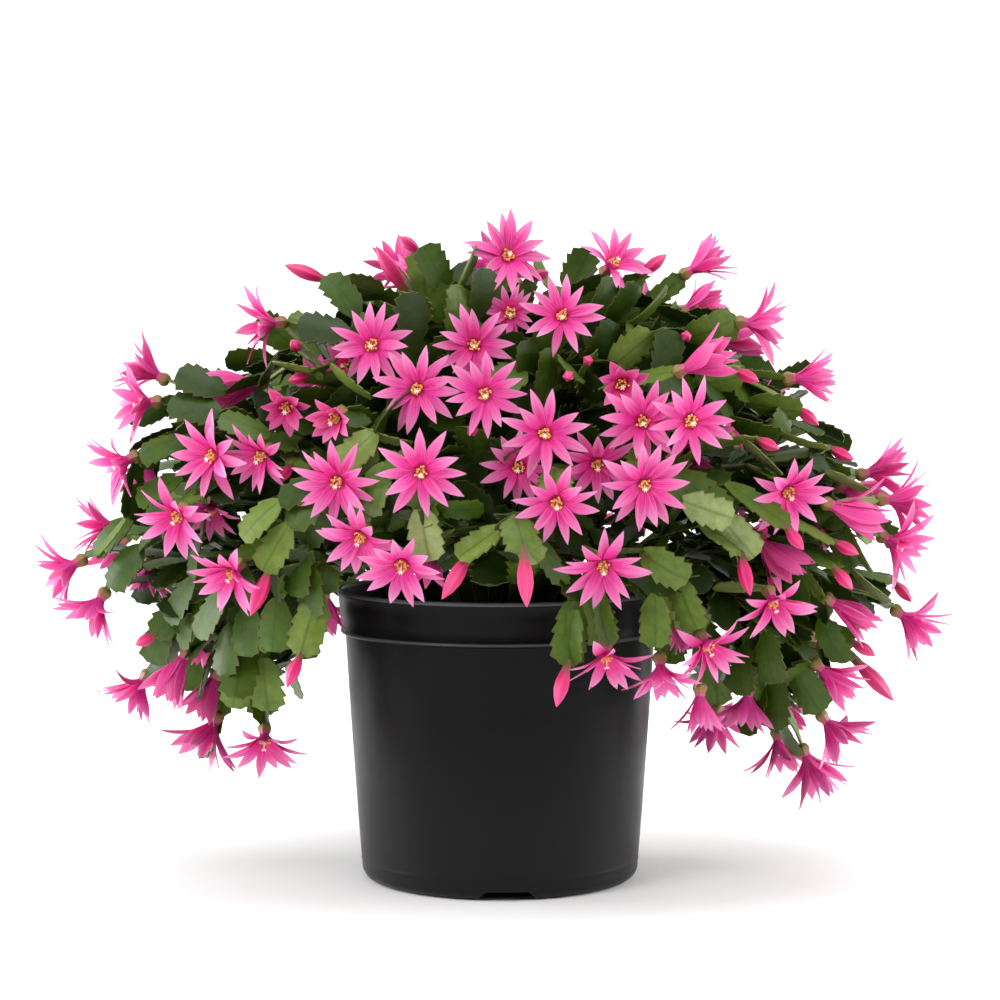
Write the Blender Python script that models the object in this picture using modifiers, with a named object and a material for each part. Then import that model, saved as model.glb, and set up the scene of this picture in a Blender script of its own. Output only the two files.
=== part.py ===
"""Potted easter cactus: a black nursery pot, its potting mix and leafy sprays with pink star blooms.

Metres, +Z up. The origin is the middle of the pot's underside and -Y is the front.
"""
import math
import random

import bmesh
import bpy
import numpy as np
from mathutils import Matrix, Vector
from mathutils.bvhtree import BVHTree

# Pot, in millimetres
RIM_RADIUS = 95.0
POT_HEIGHT = 170.0
BAND_HEIGHT = 25.0
BAND_TAPER = 2.6
BAND_LEDGE = 1.9
FOOT_RADIUS = 80.8
FOOT_ROUND = 8.0
WALL = 2.2
FLOOR = 2.6
POT_SIDES = 28
NOTCH_TOP = 24.0
NOTCH_FOOT = 34.0
NOTCH_HEIGHT = 5.3
NOTCH_TURN = math.radians(2.9)

# Potting mix, in millimetres
SOIL_EDGE = 149.0
SOIL_CROWN = 153.0
GAP = 0.3
PIT_RADIUS = 8.5
PIT_SIDES = 5
PIT_DEPTH = 8.0
FOOT_LIFT = 0.75
LEAN = 210.0

# Plant, in millimetres
EYE = Vector((0.0, -1730.0, 330.0))
DOME_MIDDLE = 190.0
DOME_WIDE = 262.0
DOME_DEEP = 165.0
DOME_UP = 185.0
DOME_DOWN = 140.0
SEGMENT = 32.0
OLD_SEGMENT = 37.0
SEGMENT_WIDTH = 22.0
KEEL = 2.6
RIDGE = 0.5
TUBE = 8.0
COPY_TURN = 9.0
COPY_LIFT = 8.0
SEED = 6

# Stations along a young segment, an old one and a woody base: how far along, and the share of the
# full width
YOUNG = ((0.0, 0.28), (0.34, 0.97), (0.58, 0.78), (0.80, 0.94))
OLD = ((0.0, 0.28), (0.5, 0.9))
WOODY = ((0.0, 0.26), (0.5, 0.36))
CUT_WIDTH = 0.58
OVARY_WIDTH = 0.26
TWIST = 0.22
FACING = 0.8
INNER_DEPTH = 0.75
GREEN = 0
PINK = 1

# Petals: how many a bloom has as it is seen, in radians how far a shut one stands up and an inner one
# more than an outer one, and the outline of one as its share of a petal's turn and of the radius
PETALS_FRONT = 7
PETALS_SIDE = 5
SHUT = 1.15
INNER_LIFT = 0.30
VALLEY = (-0.5, 0.20)
BLADE = ((-0.22, 0.56, 0.0), (0.0, 1.0, -0.08), (0.22, 0.56, 0.0))

# Half the thickness of a bud, as a share of its length and a least value
BUD_SHARE = 0.13
BUD_LEAST = 1.6

# A loose body of at most this many corners is a scrap of a union
SCRAP = 12

# Share of its arc that a trunk and a branch run before they fork, and how far a fork is sunk
TRUNK_SHARE = 0.48
BRANCH_SHARES = (0.74, 0.64, 0.54, 0.44, 0.34)
TWIG_REACH = 27.0
TWIG_AHEAD = 6.0
SUNK = 7.0
SUNK_KEEL = 0.8
FORK_STEP = 6.6
FORK_SPLAY = 0.55
CHILDREN = 3
BEHIND = 28.0

# Share of its reach for which an arc keeps to its first direction, also over the pot's rim, and how
# far a trunk's end leans outwards and a branch's with its fork
HANDLE = 0.36
RIM_HANDLE = 0.7
OUTWARD = 0.8
FORKWARD = 0.5

# A side shoot leaves a joint this far to one side, splayed and lifted off the face, and what it costs
# to turn round for it
SHOOT_STEP = 3.5
SHOOT_SPLAY = 0.8
SHOOT_LIFT = 0.5
SHOOT_TURN = 22.0

# Bands of the dome, from its crown down: the largest angle off the vertical and where the feet of the
# stems stand. TIPS_A_SPRAY is the most that one spray carries.
BANDS = ((34.0, 14.0), (62.0, 34.0), (86.0, 48.0), (181.0, 57.0))
TIPS_A_SPRAY = 8

# Open and half-open blooms, as seen from the front. Each has its place across and up in the plane of
# the pot's axis, the way it faces (right, towards the eye, up), its radius, how far it is open and
# how deep it sits, where 1 is the front of the dome.
BLOOMS = (
    (-200, 294, (-0.85, 0.1, 0.45), 23, 1.0, 1.0),
    (-205, 278, (-0.9, 0.4, -0.05), 23, 1.0, 1.0),
    (-132, 324, (-0.9, 0.35, 0.0), 24, 1.0, 0.6),
    (-144, 288, (-0.95, 0.2, -0.15), 27, 0.45, 0.8),
    (-124, 276, (-0.1, 0.9, -0.3), 17, 0.45, 1.0),
    (-95, 270, (-0.4, 0.8, -0.35), 17, 0.45, 1.0),
    (-166, 247, (-0.5, 0.8, -0.1), 26, 1.0, 1.0),
    (-138, 248, (-0.45, 0.75, -0.45), 22, 1.0, 0.9),
    (-218, 244, (-0.8, 0.45, -0.35), 24, 1.0, 1.0),
    (-205, 241, (-0.35, 0.2, -0.9), 20, 0.45, 0.6),
    (-187, 213, (-0.4, 0.75, -0.5), 26, 1.0, 1.0),
    (-168, 217, (-0.2, 0.6, -0.75), 20, 1.0, 0.7),
    (-228, 206, (-0.95, 0.1, 0.05), 23, 1.0, -0.4),
    (-249, 183, (-0.85, 0.2, -0.45), 23, 1.0, 1.0),
    (-234, 162, (-0.55, 0.25, -0.8), 24, 1.0, 1.0),
    (-221, 195, (-0.5, -0.2, -0.8), 23, 1.0, -0.6),
    (-205, 180, (-0.2, 0.1, -0.95), 18, 1.0, 0.4),
    (-155, 180, (-0.45, 0.65, -0.6), 25, 1.0, 1.0),
    (-210, 114, (-0.6, 0.15, -0.75), 23, 1.0, 0.6),
    (-186, 127, (-0.4, 0.2, -0.9), 26, 0.45, 0.8),
    (-168, 115, (-0.4, 0.2, -0.9), 24, 0.45, 0.3),
    (-171, 140, (-0.1, 0.0, -1.0), 17, 0.45, -0.2),
    (-168, 89, (-0.45, 0.2, -0.85), 27, 1.0, 0.7),
    (-138, 82, (0.0, 0.6, -0.8), 25, 1.0, 1.0),
    (-102, 163, (0.1, -0.3, -0.9), 20, 0.45, 0.4),
    (-74, 311, (-0.1, 0.95, 0.1), 24, 1.0, 1.0),
    (-49, 346, (-0.8, -0.3, 0.4), 22, 0.45, -0.5),
    (4, 362, (0.2, 0.9, 0.35), 26, 1.0, 1.0),
    (-15, 311, (0.0, 0.95, 0.1), 23, 1.0, 0.9),
    (-48, 286, (-0.05, 1.0, 0.0), 25, 1.0, 1.0),
    (-9, 283, (0.05, 1.0, 0.0), 24, 1.0, 1.0),
    (36, 328, (0.0, 1.0, 0.1), 24, 1.0, 1.0),
    (6, 330, (0.0, 1.0, 0.0), 16, 1.0, 0.7),
    (-35, 324, (-0.5, -0.4, -0.5), 21, 0.45, -0.3),
    (64, 357, (0.45, 0.6, 0.55), 23, 1.0, 1.0),
    (112, 355, (0.8, 0.1, 0.5), 23, 0.6, 0.6),
    (110, 333, (0.85, -0.1, 0.4), 21, 0.45, -0.5),
    (84, 326, (0.6, -0.4, 0.5), 21, 1.0, -0.5),
    (145, 324, (0.95, 0.15, -0.05), 24, 1.0, 1.0),
    (129, 314, (1.0, 0.0, -0.05), 22, 0.45, 0.5),
    (109, 298, (0.8, 0.2, 0.4), 26, 0.45, 1.0),
    (173, 292, (0.95, 0.15, 0.05), 22, 0.7, 1.0),
    (148, 278, (0.9, -0.2, -0.05), 21, 0.45, -0.3),
    (71, 289, (0.0, 0.95, -0.1), 17, 0.45, 1.0),
    (83, 267, (0.0, 1.0, 0.0), 25, 1.0, 1.0),
    (110, 267, (0.25, 0.9, 0.0), 25, 1.0, 1.15),
    (26, 260, (0.0, 1.0, 0.0), 25, 1.0, 1.0),
    (11, 241, (-0.1, 0.95, -0.15), 22, 1.0, 0.85),
    (56, 243, (0.1, 0.9, -0.3), 23, 1.0, 0.9),
    (84, 231, (0.05, 0.9, -0.25), 26, 1.0, 1.05),
    (33, 221, (0.0, 0.85, -0.35), 24, 1.0, 1.0),
    (-46, 238, (0.0, 0.95, -0.15), 26, 1.0, 1.0),
    (-94, 233, (-0.2, 0.85, -0.3), 26, 1.0, 1.0),
    (-81, 201, (-0.25, 0.75, -0.5), 24, 1.0, 0.9),
    (-57, 185, (-0.1, 0.75, -0.5), 25, 1.0, 1.0),
    (-42, 185, (0.1, 0.4, -0.8), 16, 0.45, 0.7),
    (60, 184, (0.05, 0.8, -0.5), 26, 1.0, 1.0),
    (62, 131, (0.05, 0.5, -0.85), 23, 1.0, 1.0),
    (94, 123, (0.05, 0.35, -0.9), 22, 1.0, 1.0),
    (120, 137, (0.4, 0.55, -0.6), 25, 1.0, 1.0),
    (117, 105, (0.0, 0.1, -0.95), 20, 0.7, 0.8),
    (145, 105, (-0.1, 0.1, -0.95), 22, 1.0, 0.6),
    (159, 163, (0.25, 0.6, -0.65), 25, 1.0, 1.0),
    (167, 227, (0.3, 0.8, -0.45), 26, 1.0, 1.0),
    (216, 237, (0.9, 0.0, 0.15), 24, 1.0, 0.6),
    (228, 221, (0.9, 0.05, 0.0), 24, 1.0, 1.0),
    (228, 197, (0.75, 0.4, -0.4), 25, 1.0, 1.0),
    (196, 217, (0.9, 0.1, -0.35), 27, 0.45, 1.0),
    (202, 227, (0.85, 0.0, -0.4), 22, 0.45, 0.4),
    (186, 206, (0.75, 0.0, -0.5), 20, 0.45, 0.8),
    (154, 195, (0.65, 0.2, -0.7), 27, 0.45, 0.8),
    (236, 153, (0.75, 0.1, -0.6), 25, 1.0, 1.0),
    (196, 160, (0.8, 0.0, -0.5), 24, 0.45, 0.8),
    (203, 170, (0.9, -0.1, -0.2), 17, 0.45, -0.4),
    (189, 121, (0.7, 0.0, -0.65), 23, 0.6, 0.9),
    (192, 90, (0.65, 0.1, -0.7), 24, 1.0, 0.8),
    (163, 79, (0.1, 0.2, -0.95), 24, 1.0, 1.0),
    (180, 70, (0.45, 0.1, -0.9), 26, 0.7, 0.5),
    (166, 99, (0.7, -0.3, -0.5), 17, 0.45, -0.5),
    (185, 137, (0.6, -0.3, -0.6), 15, 0.45, -0.4),
    (106, 150, (0.1, 0.1, -0.95), 17, 0.45, 0.65),
    (105, 246, (0.3, 0.8, -0.3), 20, 0.45, 0.6),
    (28, 238, (0.3, 0.8, -0.3), 20, 0.45, 0.55),
    (-102, 285, (-0.5, 0.5, 0.3), 21, 0.45, 0.5),
    (-87, 297, (-0.4, 0.6, 0.3), 20, 0.45, 0.6),
)

# Buds, placed the same way by their base: place, the way they point, length and depth
BUDS = (
    (-102, 349, (-0.93, 0.1, 0.35), 26, 0.8),
    (-55, 343, (-0.55, 0.1, 0.83), 32, 0.9),
    (-48, 366, (-0.78, 0.1, 0.62), 15, 0.7),
    (19, 350, (0.9, 0.1, 0.35), 12, 0.6),
    (83, 353, (0.78, 0.1, 0.62), 19, 0.9),
    (107, 316, (0.3, 0.9, 0.1), 9, 1.0),
    (51, 302, (0.0, 1.0, 0.1), 8, 1.0),
    (40, 294, (-0.1, 0.9, -0.2), 9, 1.0),
    (138, 296, (0.9, 0.1, -0.42), 15, 1.0),
    (173, 274, (0.8, 0.1, -0.6), 17, 0.9),
    (151, 256, (0.9, 0.2, -0.4), 14, 1.0),
    (193, 251, (0.9, 0.1, -0.45), 16, 0.9),
    (196, 196, (0.9, 0.1, -0.45), 16, 1.0),
    (168, 204, (0.6, 0.2, -0.8), 16, 1.0),
    (141, 188, (0.2, 0.3, -0.95), 24, 1.0),
    (231, 172, (0.65, 0.0, -0.75), 16, 0.6),
    (207, 137, (0.85, 0.0, -0.5), 16, 0.9),
    (208, 127, (0.68, 0.1, -0.72), 34, 0.5),
    (39, 123, (-0.25, 0.2, -0.95), 24, 1.0),
    (14, 189, (0.05, 0.3, -0.95), 30, 1.0),
    (-19, 188, (-0.5, 0.3, -0.82), 29, 1.0),
    (-16, 262, (0.0, 1.0, 0.0), 14, 0.9),
    (-135, 179, (-0.36, 0.3, -0.88), 28, 1.0),
    (-117, 129, (-0.38, 0.2, -0.9), 20, 1.0),
    (-122, 240, (-0.6, 0.4, -0.7), 13, 0.8),
    (-203, 141, (-0.85, 0.1, -0.4), 13, 0.7),
    (-118, 309, (-0.3, 0.5, 0.6), 9, 0.9),
    (-113, 293, (-0.9, 0.2, -0.2), 12, 0.9),
    (196, 180, (0.65, 0.1, -0.75), 16, 1.0),
)

# Bare segments that end a stem, placed the same way by their far end: place, way and depth
BARE = (
    (-52, 340, (0.1, 0.4, 1.0), 0.9),
    (96, 320, (0.5, 0.5, 0.6), 0.9),
    (-43, 205, (0.0, 0.5, -0.9), 1.0),
    (-140, 134, (-0.5, 0.4, -0.8), 1.0),
    (188, 100, (0.5, 0.2, -0.8), 1.0),
    (158, 118, (0.1, 0.3, -1.0), 0.9),
    (131, 212, (0.6, 0.5, -0.5), 1.0),
    (105, 178, (0.3, 0.5, -0.8), 0.9),
)

# Side shoots between the stems, placed by their far end in the same way. Most fill the far side, which
# has negative depths.
SHOOTS = (
    (-95, 349, (-0.64, 0.1, 0.77), 1.0),
    (-155, 106, (-0.17, 0.1, -0.95), 1.0),
    (-140, 326, (-0.9, -0.2, 0.34), -0.9),
    (-172, 277, (-0.98, -0.1, -0.17), -0.76),
    (-158, 127, (-0.2, -0.1, -0.98), -0.72),
    (-190, 137, (-0.5, -0.1, -0.86), -0.79),
    (-138, 96, (0.3, 0.0, -0.94), -0.8),
    (-190, 171, (-0.76, -0.1, -0.64), -1.0),
    (-90, 320, (-0.5, -0.1, 0.85), -0.95),
    (-162, 257, (-0.93, -0.16, -0.32), -0.95),
    (-118, 200, (-0.64, -0.1, -0.77), -1.0),
    (-16, 144, (0.1, -0.15, -0.99), -1.0),
    (34, 344, (-0.1, -0.1, 1.0), -1.0),
    (160, 290, (0.92, -0.18, 0.35), -0.95),
    (196, 234, (0.9, 0.0, -0.4), -0.85),
    (214, 196, (0.62, -0.17, -0.76), -0.9),
    (118, 112, (-0.1, -0.1, -0.99), -0.9),
    (157, 132, (0.2, -0.1, -0.98), -0.76),
    (122, 150, (0.1, -0.1, -0.99), -0.91),
)


def dome_reach(x, z):
    """How far the dome's front stands out at a place in the axis plane: the third half-axis of an
    ellipsoid, scaled by the root of what the other two leave."""
    rise = DOME_UP if z > DOME_MIDDLE else DOME_DOWN
    left = 1.0 - (x / DOME_WIDE) ** 2 - ((z - DOME_MIDDLE) / rise) ** 2
    return DOME_DEEP * math.sqrt(max(left, 0.01))


def on_sight(x, z, toward):
    """The point that lies on the line from the eye to (x, 0, z) and stands out by toward."""
    share = 1.0 - toward / -EYE.y
    return EYE + (Vector((x, 0.0, z)) - EYE) * share


class Tip:
    """One end of a stem: what it carries, where, and which way it faces."""

    def __init__(self, kind, x, z, facing, depth, size=0.0, opening=1.0):
        right, toward, up = facing
        self.kind = kind
        self.place = on_sight(x, z, depth * dome_reach(x, z))
        self.axis = Vector((right, -toward, up)).normalized()
        self.size = size
        self.opening = opening
        self.back = depth < 0.0 and kind == "bare"
        self.inner = depth < INNER_DEPTH
        self.petals = PETALS_FRONT if opening > 0.5 and toward > 0.5 else PETALS_SIDE

    def turned(self, angle, lift):
        """The same tip on the far side, turned about the pot's axis and lifted."""
        spin = Matrix.Rotation(angle, 3, "Z")
        copy = Tip(self.kind, 0.0, 0.0, (0.0, 1.0, 0.0), 0.0, self.size, self.opening)
        copy.place = spin @ self.place + Vector((0.0, 0.0, lift))
        copy.axis = spin @ self.axis
        copy.back = True
        copy.inner = True
        copy.petals = PETALS_SIDE
        return copy

    def sight(self):
        """The line along which the tip may shift without leaving its place in the front view."""
        if self.back:
            return Vector((self.place.x, self.place.y, 0.0)).normalized()
        return (self.place - EYE).normalized()


def all_tips():
    """Every stem end: those seen from the front, then the front's blooms again on the far side."""
    tips = [Tip("bloom", x, z, way, deep, size, opening) for x, z, way, size, opening, deep in BLOOMS]
    tips += [Tip("bud", x, z, way, deep, size) for x, z, way, size, deep in BUDS]
    tips += [Tip("bare", x, z, way, deep) for x, z, way, deep in BARE]
    chance = random.Random(SEED)
    for tip in list(tips):
        angle = math.pi + math.radians(chance.uniform(-COPY_TURN, COPY_TURN))
        lift = chance.uniform(-COPY_LIFT, COPY_LIFT)
        if tip.kind == "bloom" and tip.opening == 1.0 and -tip.axis.y > 0.55 and tip.place.y < -40.0:
            tips.append(tip.turned(angle, lift))
    return tips


def off_vertical(point):
    """The angle between the vertical and the line from the dome's middle, in the dome's own scale."""
    out = math.hypot(point.x / DOME_WIDE, point.y / DOME_DEEP)
    rise = point.z - DOME_MIDDLE
    return math.degrees(math.atan2(out, rise / (DOME_UP if rise > 0 else DOME_DOWN)))


def sprays_of(tips):
    """Groups the tips into sprays: band by band from the crown, and round the pot within a band."""
    groups = []
    start = 0.0
    for limit, foot in BANDS:
        band = [tip for tip in tips if start <= off_vertical(tip.place) < limit]
        band.sort(key=lambda tip: math.atan2(tip.place.y / DOME_DEEP, tip.place.x / DOME_WIDE))
        runs = math.ceil(len(band) / TIPS_A_SPRAY)
        for run in range(runs):
            members = band[len(band) * run // runs:len(band) * (run + 1) // runs]
            groups.append((foot, members))
        start = limit
    return groups


def mean(vectors):
    """The mean of some vectors."""
    return sum(vectors, Vector((0.0, 0.0, 0.0))) / len(vectors)


class Arc:
    """A cubic curve from one point and direction to another, bowed sideways by a given amount. The
    handle is the share of the straight reach for which it keeps to its first direction."""

    def __init__(self, start, way_out, end, way_in, bow=0.0, handle=HANDLE):
        reach = (end - start).length
        side = (end - start).cross(Vector((0.0, 0.0, 1.0)))
        side = side.normalized() * bow if side.length > 1e-6 else Vector((bow, 0.0, 0.0))
        first = start + way_out * reach * handle + side
        last = end - way_in * reach * HANDLE + side
        self.points = (start, first, last, end)

    def at(self, t):
        """The point at parameter t, by the cubic Bernstein weights."""
        a, b, c, d = self.points
        s = 1.0 - t
        return a * s ** 3 + b * (3 * s * s * t) + c * (3 * s * t * t) + d * t ** 3

    def way(self, t):
        """The unit direction at parameter t."""
        a, b, c, d = self.points
        s = 1.0 - t
        return ((b - a) * (s * s) + (c - b) * (2 * s * t) + (d - c) * (t * t)).normalized()

    def length(self):
        """The curve's length, from sixteen chords."""
        stops = [self.at(i / 16) for i in range(17)]
        return sum((q - p).length for p, q in zip(stops, stops[1:]))


class Limb:
    """A run of straight segments whose joints lie on part of an arc, so that it bends at its narrow
    joints. It ends in a tip, or forks into children of which its heir carries its own line on. Its
    flat face is carried along without turning about the stem, apart from a small twist a segment."""

    def __init__(self, arc, end, spacing, face, twist, root=None, tip=None):
        self.root = root
        self.count = max(1, round(arc.length() * end / spacing))
        self.joints = [arc.at(end * k / self.count) for k in range(self.count + 1)]
        self.ways = [(q - p).normalized() for p, q in zip(self.joints, self.joints[1:])]
        plain = tip is None or tip.back or tip.inner or -tip.axis.y > FACING
        self.patterns = [OLD] * (self.count - 1) + [OLD if plain else YOUNG]
        self.faces = []
        self.tip = tip
        self.heir = None
        self.kinks = [a.angle(b) for a, b in zip([arc.way(0.0)] + self.ways, self.ways)]
        if tip:
            self.kinks.append(self.ways[-1].angle(tip.axis))
        self.before = arc.way(0.0)
        before = self.before
        for k, way in enumerate(self.ways):
            face = before.rotation_difference(way) @ face
            face = Matrix.Rotation(twist * (1 - 2 * (k % 2)), 3, way) @ face
            face = (face - way * face.dot(way)).normalized()
            self.faces.append(face)
            before = way

    def frame(self, k, far):
        """Point, width direction and face direction at a share far along segment k."""
        way = self.ways[k]
        face = self.faces[k]
        if far == 0.0:
            way = (self.ways[k - 1] + way if k else self.before + way).normalized()
            face = (face - way * face.dot(way)).normalized()
        return self.joints[k].lerp(self.joints[k + 1], far), way.cross(face), face

    def ring(self, k, far, wide, swell):
        """The three corners of a section: two edges and a keel, in turn round the direction of growth."""
        point, width, face = self.frame(k, far)
        half = wide * SEGMENT_WIDTH / 2 + swell
        top = face * (RIDGE + swell)
        return [point - width * half + top, point + width * half + top, point - face * (KEEL + swell)]

    def rings(self, swell):
        """The sections of the run up to its end, which isn't among them."""
        return [self.ring(k, far, wide, swell)
                for k, pattern in enumerate(self.patterns) for far, wide in pattern]

    def fork(self, goals):
        """The order of some goals across the cut end and, for each in that order, where its child
        starts, in which direction and from which point inside the run it grows. The middle one has no
        such point, because it is the heir and goes on from the end itself."""
        end = self.joints[-1]
        point, width, face = self.frame(self.count - 1, 1.0)
        order = sorted(range(len(goals)), key=lambda number: (goals[number] - end).dot(width))
        starts = []
        for place, number in enumerate(order):
            side = place - (len(goals) - 1) // 2
            start = end + width * side * FORK_STEP
            root = None if side == 0 else end - self.ways[-1] * SUNK - face * SUNK_KEEL
            way = (self.ways[-1] + width * side * FORK_SPLAY).normalized()
            starts.append((number, start, way, root))
        return starts

    def shoot(self, k, base):
        """Where a side shoot towards a base leaves the far joint of segment k, in which direction, and
        from which point inside the segment it grows."""
        point, width, face = self.frame(k, 1.0)
        side = math.copysign(1.0, (base - point).dot(width))
        way = (self.ways[k] + width * side * SHOOT_SPLAY + face * SHOOT_LIFT).normalized()
        return point + width * side * SHOOT_STEP, way, point - self.ways[k] * SUNK - face * SUNK_KEEL


def circle_ring(middle, axis, radius, sides, spin=0.0):
    """Points evenly round a circle, counter-clockwise as seen from where the axis points."""
    side, up = across(axis)
    angles = [spin + k * 2 * math.pi / sides for k in range(sides)]
    return [middle + (side * math.cos(angle) + up * math.sin(angle)) * radius for angle in angles]


def across(axis):
    """Two unit vectors square to an axis and to each other."""
    flat = axis.cross(Vector((0.0, 0.0, 1.0)))
    flat = flat.normalized() if flat.length > 0.05 else Vector((1.0, 0.0, 0.0))
    return flat, axis.cross(flat).normalized()


class Skin:
    """Points and triangles of one closed surface, with a mark on each triangle for its material."""

    def __init__(self):
        self.points = []
        self.faces = []
        self.marks = []

    def add(self, points):
        """Adds a ring of points and returns their numbers."""
        first = len(self.points)
        self.points += points
        return list(range(first, len(self.points)))

    def fan(self, hub, ring, mark):
        """Closes a ring with a fan from a hub, its faces turned to the side that sees the ring run
        counter-clockwise."""
        for a, b in zip(ring, ring[1:] + ring[:1]):
            if hub not in (a, b):
                self.faces.append((hub, a, b))
                self.marks.append(mark)

    def bridge_equal(self, low, high, mark):
        """Joins two rings of equal size, corner to corner."""
        size = len(low)
        for i in range(size):
            j = (i + 1) % size
            self.faces += [(low[i], low[j], high[j]), (low[i], high[j], high[i])]
            self.marks += [mark, mark]

    def bridge(self, low, high, axis, mark):
        """Joins two rings that may differ in size, always taking the step that turns less far."""
        side, up = across(axis)

        def angles(ring, start):
            middle = sum((self.points[i] for i in ring), Vector()) / len(ring)
            arms = [self.points[i] - middle for i in ring]
            return [(math.atan2(arm.dot(up), arm.dot(side)) - start) % (2 * math.pi) for arm in arms]

        start = angles(low, 0.0)[0]
        lows = angles(low, start) + [2 * math.pi]
        turned_high = angles(high, start)
        first = turned_high.index(min(turned_high))
        high = high[first:] + high[:first]
        highs = turned_high[first:] + turned_high[:first] + [2 * math.pi + turned_high[first]]
        i = 0
        j = 0
        while i < len(low) or j < len(high):
            a = low[i % len(low)]
            b = high[j % len(high)]
            if j == len(high) or (i < len(low) and lows[i + 1] <= highs[j + 1]):
                i += 1
                self.faces.append((a, low[i % len(low)], b))
            else:
                j += 1
                self.faces.append((a, high[j % len(high)], b))
            self.marks.append(mark)


def add_bloom(skin, stub, place, tip, spin, swell):
    """A star of lance-shaped petals in two layers: the outline of all petals is joined to the stem's
    end below and fanned to the throat above."""
    side, up = across(tip.axis)
    closed = (1.0 - tip.opening) * SHUT
    petals = tip.petals
    outline = []
    for k in range(petals):
        lift = closed + (INNER_LIFT if k % 2 else 0.0)
        for turn, reach, tilt in ((*VALLEY, closed), *((*place, lift + droop) for *place, droop in BLADE)):
            angle = spin + (k + turn) * 2 * math.pi / petals
            out = side * math.cos(angle) + up * math.sin(angle)
            radius = tip.size * reach + swell
            outline.append(place + out * radius * math.cos(tilt) + tip.axis * radius * math.sin(tilt))
    ring = skin.add(outline)
    skin.bridge(stub, ring, tip.axis, PINK)
    hub = skin.add([place + tip.axis * (swell - 1.0)])[0]
    skin.fan(hub, ring, PINK)


def add_bud(skin, stub, place, tip, swell):
    """A pointed bud: five-sided sections, joined to the stem's end and fanned to a point."""
    fat = BUD_SHARE * tip.size + BUD_LEAST + swell
    rises = (0.0, 0.5) if tip.size > 20.0 else (0.3,)
    low = stub
    for number, rise in enumerate(rises):
        radius = fat * (0.8 if number == 0 and len(rises) > 1 else 1.0)
        ring = skin.add(circle_ring(place + tip.axis * tip.size * rise, tip.axis, radius, 5))
        skin.bridge(low, ring, tip.axis, PINK)
        low = ring
    point = skin.add([place + tip.axis * (tip.size + swell)])[0]
    skin.fan(point, low, PINK)


def stem_skin(limb, swell=0.0):
    """The closed surface of a run, its heirs and the bloom, bud or cut end at the last one's tip."""
    skin = Skin()
    below = None
    while True:
        for ring in limb.rings(swell):
            numbers = skin.add(ring)
            if below is None and limb.root:
                skin.fan(skin.add([limb.root])[0], numbers[::-1], GREEN)
            elif below is None:
                skin.fan(numbers[0], numbers[::-1], GREEN)
            else:
                skin.bridge_equal(below, numbers, GREEN)
            below = numbers
        if limb.heir is None:
            break
        limb = limb.heir
    tip = limb.tip
    carries = tip is not None and tip.kind != "bare"
    end = skin.add(limb.ring(limb.count - 1, 1.0, OVARY_WIDTH if carries else CUT_WIDTH, swell))
    skin.bridge_equal(below, end, GREEN)
    if not carries:
        skin.fan(end[0], end, GREEN)
    elif tip.kind == "bloom":
        add_bloom(skin, end, limb.place, tip, limb.spin, swell)
    else:
        add_bud(skin, end, limb.place, tip, swell)
    return skin


def crossing_faces(points, faces, tree=None):
    """The pairs of triangles that meet but share no corner."""
    tree = tree or BVHTree.FromPolygons(points, faces, all_triangles=True)
    return [(a, b) for a, b in tree.overlap(tree) if a < b and not set(faces[a]) & set(faces[b])]


def pot_guard():
    """A ring that holds the pot's wall and rim with a little room, which the stems keep clear of."""
    ledge = POT_HEIGHT - BAND_HEIGHT
    neck = RIM_RADIUS - WALL - BAND_TAPER - BAND_LEDGE - 1.0
    profile = ((RIM_RADIUS + 1.0, POT_HEIGHT + 1.0), (RIM_RADIUS + 1.0, ledge), (FOOT_RADIUS + 1.0, 0.0),
               (FOOT_RADIUS - WALL - 1.0, 0.0), (neck, ledge), (RIM_RADIUS - WALL - 1.6, POT_HEIGHT + 1.0))
    skin = Skin()
    rings = []
    for step in range(POT_SIDES):
        turn = Matrix.Rotation(2 * math.pi * step / POT_SIDES, 3, "Z")
        rings.append(skin.add([turn @ Vector((radius, 0.0, height)) for radius, height in profile]))
    for low, high in zip(rings, rings[1:] + rings[:1]):
        skin.bridge_equal(low, high, GREEN)
    return skin


class Piece:
    """A closed mesh of one spray, with its tree for finding what it crosses."""

    def __init__(self, spray, limb, swell=0.0):
        self.spray = spray
        self.limb = limb
        skin = stem_skin(limb, swell) if limb else pot_guard()
        self.points, self.faces, self.marks = skin.points, skin.faces, skin.marks
        self.tree = BVHTree.FromPolygons(self.points, self.faces, all_triangles=True)
        spread = np.array(self.points)
        self.low = spread.min(axis=0)
        self.high = spread.max(axis=0)

    def crosses_itself(self):
        """True where two faces meet that share no corner."""
        return bool(crossing_faces(self.points, self.faces, self.tree))

    def crosses(self, other):
        """True where the two surfaces meet."""
        if (self.low > other.high).any() or (self.high < other.low).any():
            return False
        return bool(self.tree.overlap(other.tree))


# How a twig may give way to its neighbours: millimetres along the line of sight, and its bow
TWIG_SHIFTS = (0, 7, -7, 14, -14, 22, -22, 30)
TWIG_CHOICES = tuple((shift, bow) for shift in TWIG_SHIFTS for bow in (0, 9, -9, 18, -18))
BRANCH_CHOICES = (0, 9, -9, 18, -18, 27, -27)
SHARP = math.radians(55.0)
SHORT = 15.0
CLEARANCE = 0.35


def best_joint(grown, tip):
    """The spray, run and segment whose far joint a side shoot best leaves from: one near it, in a line
    with it and behind it."""
    def cost(entry):
        gap = tip.place - entry[1].joints[entry[2] + 1]
        return gap.length + SHOOT_TURN * (1.0 - gap.normalized().dot(tip.axis))

    return min(((spray, limb, k) for spray, limb in grown for k in range(limb.count - 1)), key=cost)


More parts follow.
